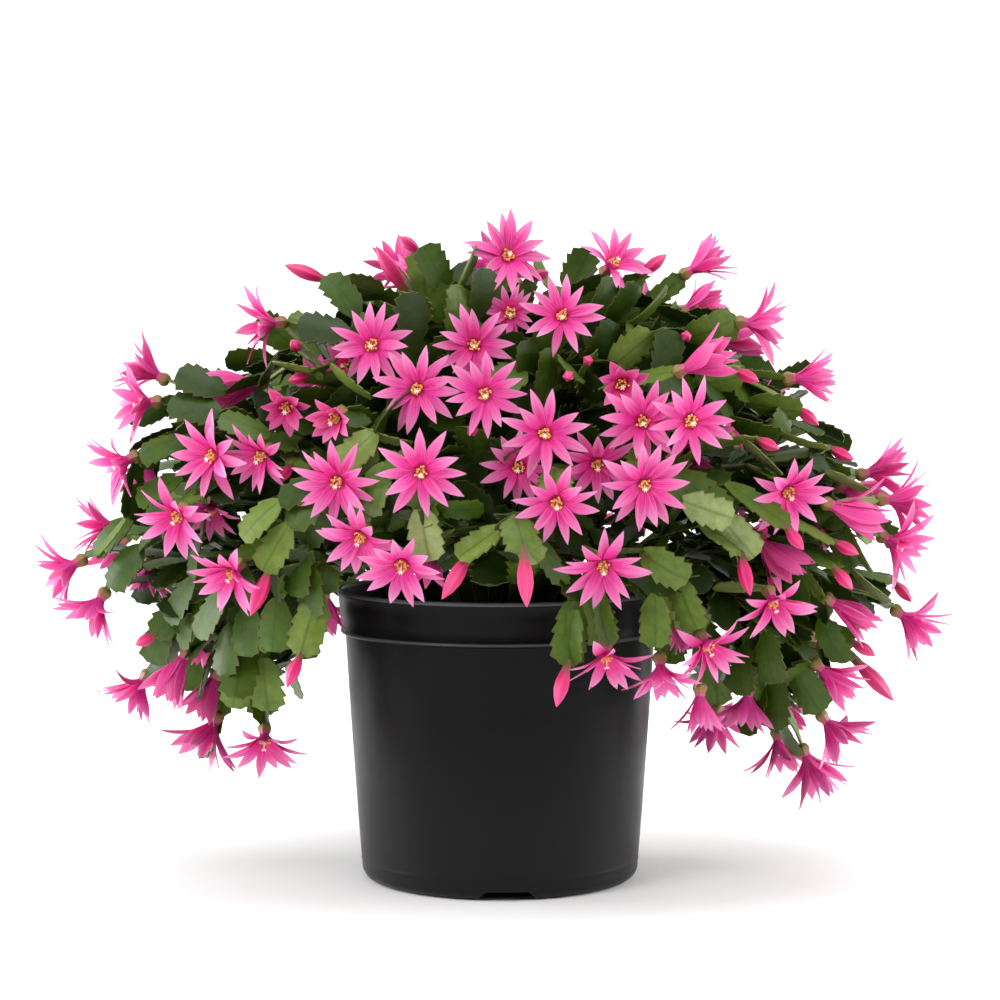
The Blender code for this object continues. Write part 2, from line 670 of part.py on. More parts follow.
def twig_limb(start, way, face, root, tip, index, choice, spacing=SEGMENT):
    """The run of a twig that ends in a tip, for one of its choices."""
    shift, bow = choice
    place = tip.place + tip.sight() * shift
    base = place - tip.axis * (0.0 if tip.kind == "bare" else TUBE)
    twist = random.Random(SEED * 1000 + index).uniform(-TWIST, TWIST)
    limb = Limb(Arc(start, way, base, tip.axis, bow), 1.0, spacing, face, twist, root, tip)
    limb.place = place
    limb.spin = 0.37 * index + 0.2 * bow
    return limb


def soil_top(radius):
    """The height of the soil's top at a radius, on the line from its crown to its edge."""
    return SOIL_CROWN + (SOIL_EDGE - SOIL_CROWN) * radius / RIM_RADIUS


def pit_floor(radius):
    """The height of the floor of a stem's pit."""
    return soil_top(radius) - PIT_DEPTH


def clear_choice(spray, choices, build, placed):
    """The choice whose run crosses least: nothing of another spray if there is one such, and then as
    little as can be of its own. Returns its run and the other sprays that it crosses."""
    best = None
    for choice in choices:
        trial = Piece(spray, build(choice), CLEARANCE)
        met = [other for other in placed if trial.crosses(other)]
        foreign = [other.spray for other in met if other.spray != spray]
        sharp = sum(kink > SHARP for kink in trial.limb.kinks)
        short = (trial.limb.joints[1] - trial.limb.joints[0]).length < SHORT
        cost = 100 * len(foreign) + 20 * trial.crosses_itself() + 5 * (sharp + short) + len(met)
        if best is None or cost < best[0]:
            best = (cost, trial.limb, foreign)
    return best[1], best[2]


def branch_share(arc, tips):
    """The longest share of an arc that leaves each of its twigs room to bend: none starts too near
    its tip or has to turn back for it."""
    bases = [tip.place - tip.axis * TUBE for tip in tips]
    for share in BRANCH_SHARES:
        arms = [base - arc.at(share) for base in bases]
        if all(arm.length > TWIG_REACH and arm.dot(arc.way(share)) > TWIG_AHEAD for arm in arms):
            return share
    return BRANCH_SHARES[-1]


def grow_sprays():
    """Places every trunk, branch and twig. Returns the runs of each spray that aren't heirs, the feet
    and the pairs of sprays that cross."""
    placed = [Piece(None, None)]
    grown = []
    roots = []
    feet = []
    crossings = []
    twigs = []
    chance = random.Random(SEED + 1)

    def settle(spray, choices, build, parent=None):
        limb, met = clear_choice(spray, choices, build, placed)
        placed.append(Piece(spray, limb))
        grown.append((spray, limb))
        crossings.extend((spray, other) for other in met if other is not None)
        if parent:
            parent.heir = limb
        else:
            roots.append((spray, limb))
        return limb

    for spray, (foot_radius, members) in enumerate(sprays_of(all_tips())):
        middle = mean([tip.place for tip in members])
        heading = math.atan2(middle.y, middle.x)
        out = Vector((math.cos(heading), math.sin(heading), 0.0))
        foot = out * foot_radius
        foot.z = pit_floor(foot_radius) + FOOT_LIFT + 1.6 * KEEL * foot_radius / LEAN
        feet.append(foot)
        lean = (Vector((0.0, 0.0, 1.0)) + out * foot_radius / LEAN).normalized()
        handle = RIM_HANDLE if foot_radius == BANDS[-1][1] else HANDLE
        end_way = (mean([tip.axis for tip in members]) + out * OUTWARD).normalized()
        twist = chance.uniform(-TWIST, TWIST)

        def trunk(bow):
            arc = Arc(foot, lean, middle, end_way, bow, handle)
            limb = Limb(arc, TRUNK_SHARE, OLD_SEGMENT, -out, twist)
            limb.patterns[0] = WOODY
            return limb

        stem = settle(spray, BRANCH_CHOICES, trunk)
        count = math.ceil(len(members) / CHILDREN)
        shares = [members[len(members) * k // count:len(members) * (k + 1) // count] for k in range(count)]
        goals = [mean([tip.place - tip.axis * BEHIND for tip in share]) for share in shares]
        for number, start, way, root in stem.fork(goals):
            goal_way = (mean([tip.axis for tip in shares[number]]) + way * FORKWARD).normalized()
            twist = chance.uniform(-TWIST, TWIST)

            def branch(bow):
                arc = Arc(start, way, goals[number], goal_way, bow)
                share = branch_share(arc, shares[number])
                return Limb(arc, share, OLD_SEGMENT, stem.faces[-1], twist, root)

            limb = settle(spray, BRANCH_CHOICES, branch, None if root else stem)
            twigs += [(spray, limb, shares[number][k], *rest)
                      for k, *rest in limb.fork([tip.place for tip in shares[number]])]
    for index, (spray, parent, tip, start, way, root) in enumerate(twigs):

        def twig(choice):
            return twig_limb(start, way, parent.faces[-1], root, tip, index, choice)

        settle(spray, TWIG_CHOICES, twig, None if root else parent)
    for index, (x, z, facing, deep) in enumerate(SHOOTS, len(twigs)):
        tip = Tip("bare", x, z, facing, deep)
        spray, parent, k = best_joint(grown, tip)
        start, way, root = parent.shoot(k, tip.place)

        def shoot(choice):
            return twig_limb(start, way, parent.faces[k], root, tip, index, choice, OLD_SEGMENT)

        settle(spray, TWIG_CHOICES, shoot)
    return roots, feet, crossings


def clusters(count, crossings):
    """Numbers the sprays so that those which cross share a number."""
    owner = list(range(count))
    for a, b in crossings:
        low, high = sorted((owner[a], owner[b]))
        owner = [low if number == high else number for number in owner]
    return owner


def paint(name, color, roughness):
    """A plain Principled material."""
    material = bpy.data.materials.new(name)
    material.use_nodes = True
    shader = material.node_tree.nodes["Principled BSDF"]
    shader.inputs["Base Color"].default_value = (*color, 1.0)
    shader.inputs["Roughness"].default_value = roughness
    material.diffuse_color = (*color, 1.0)
    return material


def new_object(name, mesh, collection):
    """An object with this mesh, in this collection."""
    item = bpy.data.objects.new(name, mesh)
    collection.objects.link(item)
    return item


def turned(name, profile, sides, collection):
    """A solid of revolution: a profile of (radius, height) points in mm with a Screw modifier."""
    shape = bmesh.new()
    points = [shape.verts.new((radius / 1000, 0.0, height / 1000)) for radius, height in profile]
    for a, b in zip(points, points[1:]):
        shape.edges.new((a, b))
    mesh = bpy.data.meshes.new(name)
    shape.to_mesh(mesh)
    shape.free()
    item = new_object(name, mesh, collection)
    screw = item.modifiers.new("turn", "SCREW")
    screw.steps = sides
    screw.render_steps = sides
    screw.use_merge_vertices = True
    screw.merge_threshold = 0.00001
    return item


def cut(item, cutter):
    """Cuts a cutter out of an item with a Boolean modifier. The cutter's own bodies may overlap."""
    boolean = item.modifiers.new("cut", "BOOLEAN")
    boolean.operation = "DIFFERENCE"
    boolean.object = cutter
    boolean.use_self = True


def as_cutter(item):
    """Marks an object as a cutter, which isn't part of the model."""
    item.hide_render = True
    item.display_type = "WIRE"


def wall_profile():
    """The inside of the pot, from the floor's middle to the lip, as (radius, height) points."""
    inner_rim = RIM_RADIUS - BAND_TAPER - WALL
    return [(0.0, FLOOR), (FOOT_RADIUS - FOOT_ROUND, FLOOR), (FOOT_RADIUS - WALL, FOOT_ROUND + 1.0),
            (inner_rim - BAND_LEDGE, POT_HEIGHT - BAND_HEIGHT - 2.0),
            (inner_rim, POT_HEIGHT - BAND_HEIGHT + 3.0), (RIM_RADIUS - WALL - 0.6, POT_HEIGHT - 1.2)]


def make_pot(parts, cutters):
    """The pot: a turned wall with a rim band, lip bead, foot ring and four drain notches."""
    band_foot = RIM_RADIUS - BAND_TAPER
    ledge = POT_HEIGHT - BAND_HEIGHT
    outside = [(RIM_RADIUS - 1.6, POT_HEIGHT), (RIM_RADIUS - 0.4, POT_HEIGHT - 0.6),
               (RIM_RADIUS, POT_HEIGHT - 2.2),
               (band_foot, ledge + 1.0), (band_foot - BAND_LEDGE, ledge - 0.8),
               (FOOT_RADIUS + 0.5, FOOT_ROUND + 4.4), (FOOT_RADIUS - 0.1, FOOT_ROUND + 3.4)]
    for step in range(4):
        angle = math.radians(90.0 * step / 3)
        outside.append((FOOT_RADIUS - FOOT_ROUND * (1 - math.cos(angle)),
                        FOOT_ROUND * (1 - math.sin(angle))))
    pot = turned("pot", wall_profile() + outside + [(0.0, 0.0)], POT_SIDES, parts)
    for quarter in range(4):
        cut(pot, notch_cutter(quarter, cutters))
    pot.data.materials.append(paint("black moulded plastic", (0.012, 0.012, 0.013), 0.35))


def notch_cutter(quarter, cutters):
    """A wedge that is wider at the foot, lying along a radius, which cuts one drain notch."""
    low, high = -1.0, NOTCH_HEIGHT
    spread = (NOTCH_FOOT - NOTCH_TOP) / 2 / NOTCH_HEIGHT
    shape = bmesh.new()
    bmesh.ops.create_cube(shape, size=1.0)
    for corner in shape.verts:
        height = high if corner.co.z > 0 else low
        half = NOTCH_TOP / 2 + spread * (high - height)
        reach = FOOT_RADIUS + 5.0 if corner.co.y < 0 else FOOT_RADIUS - FOOT_ROUND - 8.0
        corner.co = Vector((math.copysign(half, corner.co.x), -reach, height)) / 1000
    turn = Matrix.Rotation(NOTCH_TURN + quarter * math.pi / 2, 3, "Z")
    bmesh.ops.rotate(shape, verts=shape.verts, matrix=turn)
    mesh = bpy.data.meshes.new("notch")
    shape.to_mesh(mesh)
    shape.free()
    item = new_object("notch_%d" % (quarter + 1), mesh, cutters)
    as_cutter(item)
    return item


def make_soil(feet, parts, cutters):
    """The potting mix: a turned fill with a low crown, and a plain pit for each stem."""
    floor, corner, heel, neck, shoulder, lip = wall_profile()
    edge = shoulder[0] + (lip[0] - shoulder[0]) * (SOIL_EDGE - shoulder[1]) / (lip[1] - shoulder[1])
    profile = [(0.0, SOIL_CROWN), (edge * 0.55, soil_top(edge * 0.55)), (edge - GAP, SOIL_EDGE)]
    profile += [(shoulder[0] - GAP, shoulder[1]), (neck[0] - GAP, neck[1]), (heel[0] - GAP, heel[1])]
    profile += [(corner[0] - GAP, FLOOR + GAP), (0.0, FLOOR + GAP)]
    soil = turned("potting_mix", profile, POT_SIDES // 2, parts)
    shape = bmesh.new()
    for foot in feet:
        middle = foot * (1.0 + PIT_DEPTH / LEAN / 2)
        middle.z = pit_floor(math.hypot(foot.x, foot.y)) + PIT_DEPTH
        bmesh.ops.create_cone(shape, cap_ends=True, segments=PIT_SIDES, radius1=PIT_RADIUS / 1000,
                              radius2=PIT_RADIUS / 1000, depth=2 * PIT_DEPTH / 1000,
                              matrix=Matrix.Translation(middle / 1000))
    mesh = bpy.data.meshes.new("pits")
    shape.to_mesh(mesh)
    shape.free()
    pits = new_object("pits", mesh, cutters)
    as_cutter(pits)
    cut(soil, pits)
    soil.data.materials.append(paint("dark potting mix", (0.030, 0.020, 0.013), 0.95))


def whole_body(mesh):
    """Drops the small loose bodies of a mesh, which are scraps and the skins of sealed hollows, and
    makes triangles of its faces. Returns how many of its edges don't join two faces, how many bodies
    of more than a few corners were dropped and how many faces cross."""
    shape = bmesh.new()
    shape.from_mesh(mesh)
    unseen = set(shape.verts)
    bodies = []
    while unseen:
        body = {unseen.pop()}
        front = list(body)
        while front:
            for edge in front.pop().link_edges:
                for vert in edge.verts:
                    if vert not in body:
                        body.add(vert)
                        front.append(vert)
        unseen -= body
        bodies.append(body)
    bodies.sort(key=len)
    dropped = [vert for body in bodies[:-1] for vert in body]
    bmesh.ops.delete(shape, geom=dropped, context="VERTS")
    bmesh.ops.triangulate(shape, faces=shape.faces)
    open_edges = sum(len(edge.link_faces) != 2 for edge in shape.edges)
    shape.to_mesh(mesh)
    shape.free()
    lost = sum(len(body) > SCRAP for body in bodies[:-1])
    points = [vert.co for vert in mesh.vertices]
    return open_edges, lost, len(crossing_faces(points, [tuple(face.vertices) for face in mesh.polygons]))


def piece_object(name, piece, materials, collection):
    """An object of one run, its triangles marked green or pink."""
    mesh = bpy.data.meshes.new(name)
    mesh.from_pydata([point / 1000 for point in piece.points], [], piece.faces)
    for material in materials:
        mesh.materials.append(material)
    mesh.polygons.foreach_set("material_index", piece.marks)
    return new_object(name, mesh, collection)


def fused(name, pieces, materials, parts):
    """One closed object from the runs of a spray: a Boolean union on a collection, applied. Of the
    solvers, the first that leaves no open edge and drops no run is taken, or else the best."""
    spare = bpy.data.collections.new(name + "_runs")
    bpy.context.scene.collection.children.link(spare)
    first = piece_object(name + "_trunk", pieces[0], materials, parts)
    items = [piece_object("%s_%d" % (name, k), piece, materials, spare)
             for k, piece in enumerate(pieces[1:])]
    union = first.modifiers.new("fuse", "BOOLEAN")
    union.operation = "UNION"
    union.operand_type = "COLLECTION"
    union.collection = spare
    best = None
    for solver, own in (("EXACT", True), ("EXACT", False), ("MANIFOLD", False)):
        union.solver = solver
        union.use_self = own
        bpy.context.view_layer.update()
        view = bpy.context.evaluated_depsgraph_get()
        trial = bpy.data.meshes.new_from_object(first.evaluated_get(view))
        faults = whole_body(trial)
        if best is None or faults < best[0]:
            best = (faults, trial)
        if faults == (0, 0, 0):
            break
    joined = best[1]
    for item in items + [first]:
        bpy.data.objects.remove(item)
    bpy.data.collections.remove(spare)
    joined.name = name
    return new_object(name, joined, parts)


def make_plant(roots, feet, crossings, parts):
    """Fuses each spray, with any that it crosses, into one named object."""
    leaf = paint("green stem segments", (0.045, 0.11, 0.018), 0.45)
    petal = paint("pink petals", (0.80, 0.08, 0.33), 0.55)
    owner = clusters(len(feet), crossings)
    for number, cluster in enumerate(sorted(set(owner))):
        own = [Piece(spray, limb) for spray, limb in roots if owner[spray] == cluster]
        fused("spray_%02d" % (number + 1), own, (leaf, petal), parts)


def new_collection(name):
    """A collection under the scene's own."""
    collection = bpy.data.collections.new(name)
    bpy.context.scene.collection.children.link(collection)
    return collection


for item in list(bpy.data.objects):
    bpy.data.objects.remove(item)
parts_collection = new_collection("potted_easter_cactus")
cutter_collection = new_collection("cutters")
all_roots, all_feet, all_crossings = grow_sprays()
make_pot(parts_collection, cutter_collection)
make_soil(all_feet, parts_collection, cutter_collection)
make_plant(all_roots, all_feet, all_crossings, parts_collection)
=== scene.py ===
"""Looks of the potted easter cactus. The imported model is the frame, and finer pieces stand for its
solids. The working is in millimetres and the meshes in metres; -Y is the front."""
import math
import random

import bpy
import numpy as np
from mathutils import Matrix, Vector
from mathutils.kdtree import KDTree


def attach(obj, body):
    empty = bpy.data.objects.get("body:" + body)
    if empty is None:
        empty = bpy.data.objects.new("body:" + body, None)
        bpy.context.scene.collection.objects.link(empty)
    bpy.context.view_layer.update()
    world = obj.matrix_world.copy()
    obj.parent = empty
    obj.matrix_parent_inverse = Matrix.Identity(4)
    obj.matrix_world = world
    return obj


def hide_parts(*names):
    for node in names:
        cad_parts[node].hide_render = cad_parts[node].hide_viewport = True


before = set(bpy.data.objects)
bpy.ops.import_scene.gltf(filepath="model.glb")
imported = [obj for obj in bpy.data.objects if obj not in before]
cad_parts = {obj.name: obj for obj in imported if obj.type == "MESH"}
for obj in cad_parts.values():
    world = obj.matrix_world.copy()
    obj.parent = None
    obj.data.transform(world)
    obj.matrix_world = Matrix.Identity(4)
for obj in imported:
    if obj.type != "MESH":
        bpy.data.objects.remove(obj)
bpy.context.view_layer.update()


# The pot is one injection moulding of black polypropylene. It has a deep rim band with a rolled lip,
# a step below it, a thin ring near the foot, a rounded bottom edge and four drain notches.
RIM_RADIUS = 95.0
POT_HEIGHT = 170.0
BAND_HEIGHT = 25.0
BAND_FOOT = 92.4
BODY_TOP = 90.5
FOOT_RADIUS = 80.8
FOOT_ROUND = 8.0
WALL = 2.2
FLOOR = 2.6
POT_SIDES = 320
ROUNDED_LOW = 12.0
NOTCH_HALF_TOP = 12.0
NOTCH_HALF_FOOT = 17.0
NOTCH_HEIGHT = 5.3
NOTCH_REACH = 64.8
NOTCH_TURN = math.radians(2.9)


def linear(code):
    """An sRGB hex colour as linear RGBA: a channel up to 0.04045 is divided by 12.92, and one above it
    is raised by 0.055, divided by 1.055 and taken to the power 2.4."""
    channels = [int(code[i:i + 2], 16) / 255 for i in (1, 3, 5)]
    return [c / 12.92 if c <= 0.04045 else ((c + 0.055) / 1.055) ** 2.4 for c in channels] + [1.0]


def add_node(material, kind, settings=None, links=None):
    """Adds one shader node to a material, with its settings and what is linked to its inputs. A hex
    code is turned to linear, and the setting "stops" gives a colour ramp its places and colours."""
    new = material.node_tree.nodes.new("ShaderNode" + kind)
    for key, value in (settings or {}).items():
        if isinstance(value, str) and value.startswith("#"):
            value = linear(value)
        if key == "stops":
            ramp = new.color_ramp
            while len(ramp.elements) < len(value):
                ramp.elements.new(1.0)
            for element, (place, color) in zip(ramp.elements, value):
                element.position = place
                element.color = linear(color)
        elif isinstance(key, int) or key in new.inputs:
            new.inputs[key].default_value = value
        else:
            setattr(new, key, value)
    for key, source in (links or {}).items():
        material.node_tree.links.new(source, new.inputs[key])
    return new


def bare_finish(name, preview):
    """A new material without nodes but its output, with a colour for plain views."""
    material = bpy.data.materials.new(name)
    material.use_nodes = True
    material.diffuse_color = linear(preview)
    material.node_tree.nodes.clear()
    return material


def close_with(material, shader):
    """Links a shader to a new output of its material."""
    add_node(material, "OutputMaterial", {}, {"Surface": shader.outputs[0]})


def place_mesh(name, points, faces, marks, materials, sharp=math.radians(50.0)):
    """One object from points in millimetres, with a material number for each face. Edges that turn by
    more than the sharp angle stay crisp."""
    mesh = bpy.data.meshes.new(name)
    mesh.from_pydata((points / 1000.0).tolist(), [], faces)
    for material in materials:
        mesh.materials.append(material)
    mesh.polygons.foreach_set("material_index", np.asarray(marks, dtype=np.int32))
    mesh.polygons.foreach_set("use_smooth", np.ones(len(faces), dtype=bool))
    mesh.set_sharp_from_angle(angle=sharp)
    mesh.update()
    item = bpy.data.objects.new(name, mesh)
    bpy.context.scene.collection.objects.link(item)
    return item


def turned_faces(rows, sides):
    """Quads of a grid of rows by sides that closes round its sides, with a polygon on its first and its
    last row."""
    number = np.arange(rows * sides).reshape(rows, sides)
    low = number[:-1]
    high = number[1:]
    quads = np.stack([low, np.roll(low, -1, 1), np.roll(high, -1, 1), high], -1).reshape(-1, 4)
    return quads.tolist() + [number[0, ::-1].tolist(), number[-1].tolist()]


def pot_profile():
    """The closed wall as (radius, height), from the middle of the underside out and up the outside,
    over the lip and down the inside. The foot is a quarter circle and the lip a small bead."""
    ledge = POT_HEIGHT - BAND_HEIGHT
    turn = np.radians(np.linspace(90.0, 0.0, 11))
    foot = np.stack([FOOT_RADIUS - FOOT_ROUND * (1 - np.cos(turn)), FOOT_ROUND * (1 - np.sin(turn))], 1)
    outside = [(0.5, 0.0), (30.0, 0.0), (NOTCH_REACH - 0.6, 0.0), (NOTCH_REACH, 0.0),
               (NOTCH_REACH + 0.3, 0.0), (69.0, 0.0)]
    side = [(80.9, 10.4), (81.15, 11.3), (81.3, 11.9), (81.2, 12.6), (81.2, 13.6), (83.3, 40.0),
            (85.8, 75.0), (88.2, 110.0), (BODY_TOP - 0.3, ledge - 2.2), (BODY_TOP - 0.1, ledge - 1.0),
            (BODY_TOP + 0.7, ledge - 0.7), (BAND_FOOT + 0.2, ledge - 0.4), (BAND_FOOT + 0.8, ledge + 0.3),
            (BAND_FOOT + 0.6, ledge + 1.2), (BAND_FOOT + 0.2, ledge + 2.2), (93.1, 153.0), (93.9, 161.0),
            (94.35, 165.9), (94.75, 166.5), (95.0, 167.3), (95.05, 168.2), (94.8, 169.1), (94.2, 169.8),
            (93.5, POT_HEIGHT), (92.9, 169.8), (92.4, 169.2), (92.1, 168.2)]
    inside = [(90.3, 149.0), (89.9, 147.4), (88.6, 144.6), (88.3, 143.0), (84.0, 80.0), (78.7, 11.0),
              (78.2, 7.5), (76.6, 4.4), (73.6, 2.8), (72.0, FLOOR), (30.0, FLOOR), (0.5, FLOOR)]
    return np.concatenate([np.array(outside), foot, np.array(side), np.array(inside)])


def drain_roof(angle, radius):
    """The height of the notches' roof at an angle and radius: a flat top with sloping sides, by the
    distance across from the nearest notch's middle line."""
    quarter = (angle - NOTCH_TURN + math.pi / 4) % (math.pi / 2) - math.pi / 4
    across = np.abs(np.sin(quarter) * radius)
    slope = (NOTCH_HALF_FOOT - across) / (NOTCH_HALF_FOOT - NOTCH_HALF_TOP)
    return np.clip(slope, 0.0, 1.0) * NOTCH_HEIGHT


profile = pot_profile()
angle, radius = np.meshgrid(np.arange(POT_SIDES) * 2 * math.pi / POT_SIDES, profile[:, 0])
height = np.repeat(profile[:, 1:], POT_SIDES, axis=1)
outside = np.arange(len(profile))[:, None] < profile[:, 1].argmax()
roof = np.where(radius >= NOTCH_REACH - 0.1, drain_roof(angle, radius), 0.0)
thick = np.where(outside | (roof == 0.0), 0.0, WALL)
height = np.maximum(height, np.where(height < ROUNDED_LOW, roof + thick, 0.0))
pot_points = np.stack([radius * np.cos(angle), radius * np.sin(angle), height], -1).reshape(-1, 3)

# Injection-moulded polypropylene is dense black with a satin skin: broad soft highlights, and a fine
# spark-eroded grain of about 0.4 mm that breaks them up. Handling leaves it unevenly dull. A pale line
# along the lip and one along the band's lower edge are painted highlights. It is paler towards the foot.
plastic = bare_finish("moulded black polypropylene", "#17171a")
place = add_node(plastic, "TexCoord").outputs["Object"]
grain = add_node(plastic, "TexNoise", {"Scale": 1400.0, "Detail": 3.0}, {"Vector": place})
handling = add_node(plastic, "TexNoise", {"Scale": 22.0, "Detail": 5.0, "Roughness": 0.6}, {"Vector": place})
dull = add_node(plastic, "MapRange", {"From Min": 0.3, "From Max": 0.7, "To Min": 0.30, "To Max": 0.44},
                {"Value": handling.outputs["Fac"]})
black = add_node(plastic, "ValToRGB", {"stops": ((0.35, "#050506"), (0.7, "#0a0a0b"))},
                 {"Fac": handling.outputs["Fac"]})
level = add_node(plastic, "SeparateXYZ", {}, {0: place}).outputs["Z"]
band_share = add_node(plastic, "MapRange", {"From Min": 0.140, "From Max": 0.172}, {"Value": level})
# Painted highlights: a pale line along the band's lower edge and one along the lip.
painted_highlight_lines = add_node(plastic, "ValToRGB", {"stops": (
    (0.155, "#000000"), (0.175, "#d0d0d0"), (0.19, "#d0d0d0"), (0.215, "#000000"), (0.86, "#000000"),
    (0.88, "#ffffff"), (0.93, "#ffffff"), (0.95, "#000000"))}, {"Fac": band_share.outputs["Result"]})
highlight_lined = add_node(plastic, "Mix", {"data_type": "RGBA", 7: "#707075"},
                 {0: painted_highlight_lines.outputs["Color"], 6: black.outputs["Color"]})
# The colour is mixed paler towards the foot, over its lowest 100 mm.
foot_fade = add_node(plastic, "MapRange", {"From Min": 0.0, "From Max": 0.1, "To Min": 0.75, "To Max": 0.0},
                {"Value": level})
foot_faded = add_node(plastic, "Mix", {"data_type": "RGBA", 7: "#1f1e20"},
                 {0: foot_fade.outputs["Result"], 6: highlight_lined.outputs[2]})
relief = add_node(plastic, "Bump", {"Strength": 0.12, "Distance": 0.0002}, {"Height": grain.outputs["Fac"]})
close_with(plastic, add_node(
    plastic, "BsdfPrincipled", {"IOR": 1.49, "Specular IOR Level": 0.12},
    {"Base Color": foot_faded.outputs[2], "Roughness": dull.outputs["Result"],
     "Normal": relief.outputs["Normal"]}))

pot_faces = turned_faces(len(profile), POT_SIDES)
pot = place_mesh("nursery_pot", pot_points, pot_faces, [0] * len(pot_faces), [plastic], math.radians(35.0))
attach(pot, "root")
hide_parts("pot")


# The potting mix is dark peat and fine bark that fills the pot to about 20 mm below its rim. The top
# is crumbly, with a low crown, and chips of bark and a few white grains of perlite lie on it.
SOIL_EDGE = 149.0
SOIL_CROWN = 153.0
SOIL_RADIUS = 89.2
CRUMB_RADIUS = 89.0
SOIL_RINGS = 46
SOIL_SIDES = 120
CRUMBS = 420
EVEN_EDGE = 12.0
soil_chance = np.random.default_rng(3)


def soil_level(share):
    """The height of the soil at a share of its radius: it falls from the crown by the power 1.5."""
    return SOIL_CROWN + (SOIL_EDGE - SOIL_CROWN) * share ** 1.5


def crumbly(x, y, lumps=700):
    """The height of a crumbly top at many places: a sum of small round lumps at random places, each the
    exponential of minus the square of the distance over its own width."""
    middle = soil_chance.uniform(-90.0, 90.0, (lumps, 2))
    spread = soil_chance.uniform(1.6, 5.0, lumps)
    rise = soil_chance.uniform(-0.8, 1.3, lumps)
    away = (x[:, None] - middle[:, 0]) ** 2 + (y[:, None] - middle[:, 1]) ** 2
    return (np.exp(-away / spread ** 2) * rise).sum(axis=1)


def across_frame(axis):
    """Two unit vectors square to each of many axes and to each other, so that side x up = axis."""
    flat = np.cross(axis, np.array([0.0, 0.0, 1.0]))
    size = np.linalg.norm(flat, axis=-1, keepdims=True)
    side = np.where(size > 0.05, flat / np.maximum(size, 1e-9), np.array([1.0, 0.0, 0.0]))
    up = np.cross(axis, side)
    up /= np.linalg.norm(up, axis=-1, keepdims=True)
    return np.cross(up, axis), up


def spun(base, axis, heights, radii, corners, ribs=0.0, lobes=5, spin=0.0):
    """Round bodies, many at once: rings of the given radii at the given heights along each axis. A rib
    share makes the radius swell and sink by a cosine of lobes times the angle. One row of heights,
    radii, ribs or spin serves all the bodies."""
    heights = np.atleast_2d(heights)
    radii = np.atleast_2d(radii)
    side, up = across_frame(axis)
    angle = np.arange(corners) * 2 * math.pi / corners + np.reshape(spin, (-1, 1))
    round_way = (side[:, None] * np.cos(angle)[..., None] + up[:, None] * np.sin(angle)[..., None])
    swell = 1.0 + np.reshape(ribs, (-1, 1)) * np.cos(lobes * (angle - np.reshape(spin, (-1, 1))))
    reach = radii[:, :, None] * swell[:, None, :]
    centre = base[:, None] + axis[:, None] * heights[..., None]
    return centre[:, :, None] + round_way[:, None] * reach[..., None]


def grown_piece(name, growths, materials, sharp=math.radians(50.0)):
    """One object from many closed bodies. Each growth is (rings, mark, tone, along, edge, back): rings is
    numbered by body, section, corner and xyz, mark is its material, tone each body's own number, along
    each section's share of the length, even steps if left out, and edge and back say of each corner how
    near it is to the rim and to the back. Next sections are joined by quads and both ends closed."""
    points, faces, marks = [], [], []
    fields = {"along": [], "tone": [], "edge": [], "back": []}
    first = 0
    for rings, mark, tone, along, edge, back in growths:
        shape = rings.shape[:3]
        bodies, rows, corners = shape
        along = np.linspace(0.0, 1.0, rows) if along is None else along
        number = first + np.arange(bodies * rows * corners).reshape(bodies, rows, corners)
        low = number[:, :-1]
        high = number[:, 1:]
        quads = np.stack([low, np.roll(low, -1, 2), np.roll(high, -1, 2), high], -1).reshape(-1, 4)
        ends = np.concatenate([number[:, 0, ::-1], number[:, -1]])
        faces += quads.tolist() + ends.tolist()
        marks.append(np.full(len(quads) + len(ends), mark))
        points.append(rings.reshape(-1, 3))
        fields["along"].append(np.broadcast_to(along[:, None], shape).ravel())
        fields["tone"].append(np.broadcast_to(np.reshape(tone, (-1, 1, 1)), shape).ravel())
        fields["edge"].append(np.broadcast_to(edge, shape).ravel())
        fields["back"].append(np.broadcast_to(back, shape).ravel())
        first += bodies * rows * corners
    item = place_mesh(name, np.concatenate(points), faces, np.concatenate(marks), materials, sharp)
    for label, values in fields.items():
        field = item.data.attributes.new(label, "FLOAT", "POINT")
        field.data.foreach_set("value", np.concatenate(values).astype(np.float32))
    return item


row, turn = np.meshgrid(np.linspace(0.006, 1.0, SOIL_RINGS),
                        np.arange(SOIL_SIDES) * 2 * math.pi / SOIL_SIDES, indexing="ij")
top = np.stack([row * SOIL_RADIUS * np.cos(turn), row * SOIL_RADIUS * np.sin(turn), soil_level(row)], -1)
lumps = crumbly(top[..., 0].ravel(), top[..., 1].ravel()).reshape(row.shape)
top[..., 2] += lumps * np.clip((1.0 - row) * EVEN_EDGE, 0.15, 1.0)
once = turn[:1]
side = [np.stack([out * np.cos(once), out * np.sin(once), np.full_like(once, level)], -1)
        for out, level in ((88.6, 146.5), (87.6, 141.0), (78.0, 12.5), (73.0, 7.8), (0.5, 7.8))]
soil_points = np.concatenate([top] + side)[::-1]
soil_faces = turned_faces(len(soil_points), SOIL_SIDES)

# Damp peat is nearly black-brown and quite matt, with paler fibres and specks a millimetre or two wide.
peat = bare_finish("damp peat and bark", "#1c130d")
place = add_node(peat, "TexCoord").outputs["Object"]
clods = add_node(peat, "TexNoise", {"Scale": 260.0, "Detail": 6.0, "Roughness": 0.7}, {"Vector": place})
specks = add_node(peat, "TexVoronoi", {"Scale": 520.0}, {"Vector": place})
browns = add_node(peat, "ValToRGB", {"stops": ((0.3, "#0d0805"), (0.52, "#241710"), (0.72, "#4a3423"))},
                  {"Fac": clods.outputs["Fac"]})
rough_top = add_node(peat, "Bump", {"Strength": 0.8, "Distance": 0.0015},
                     {"Height": specks.outputs["Distance"]})
close_with(peat, add_node(peat, "BsdfPrincipled", {"Roughness": 0.93, "Specular IOR Level": 0.25},
                          {"Base Color": browns.outputs["Color"], "Normal": rough_top.outputs["Normal"]}))

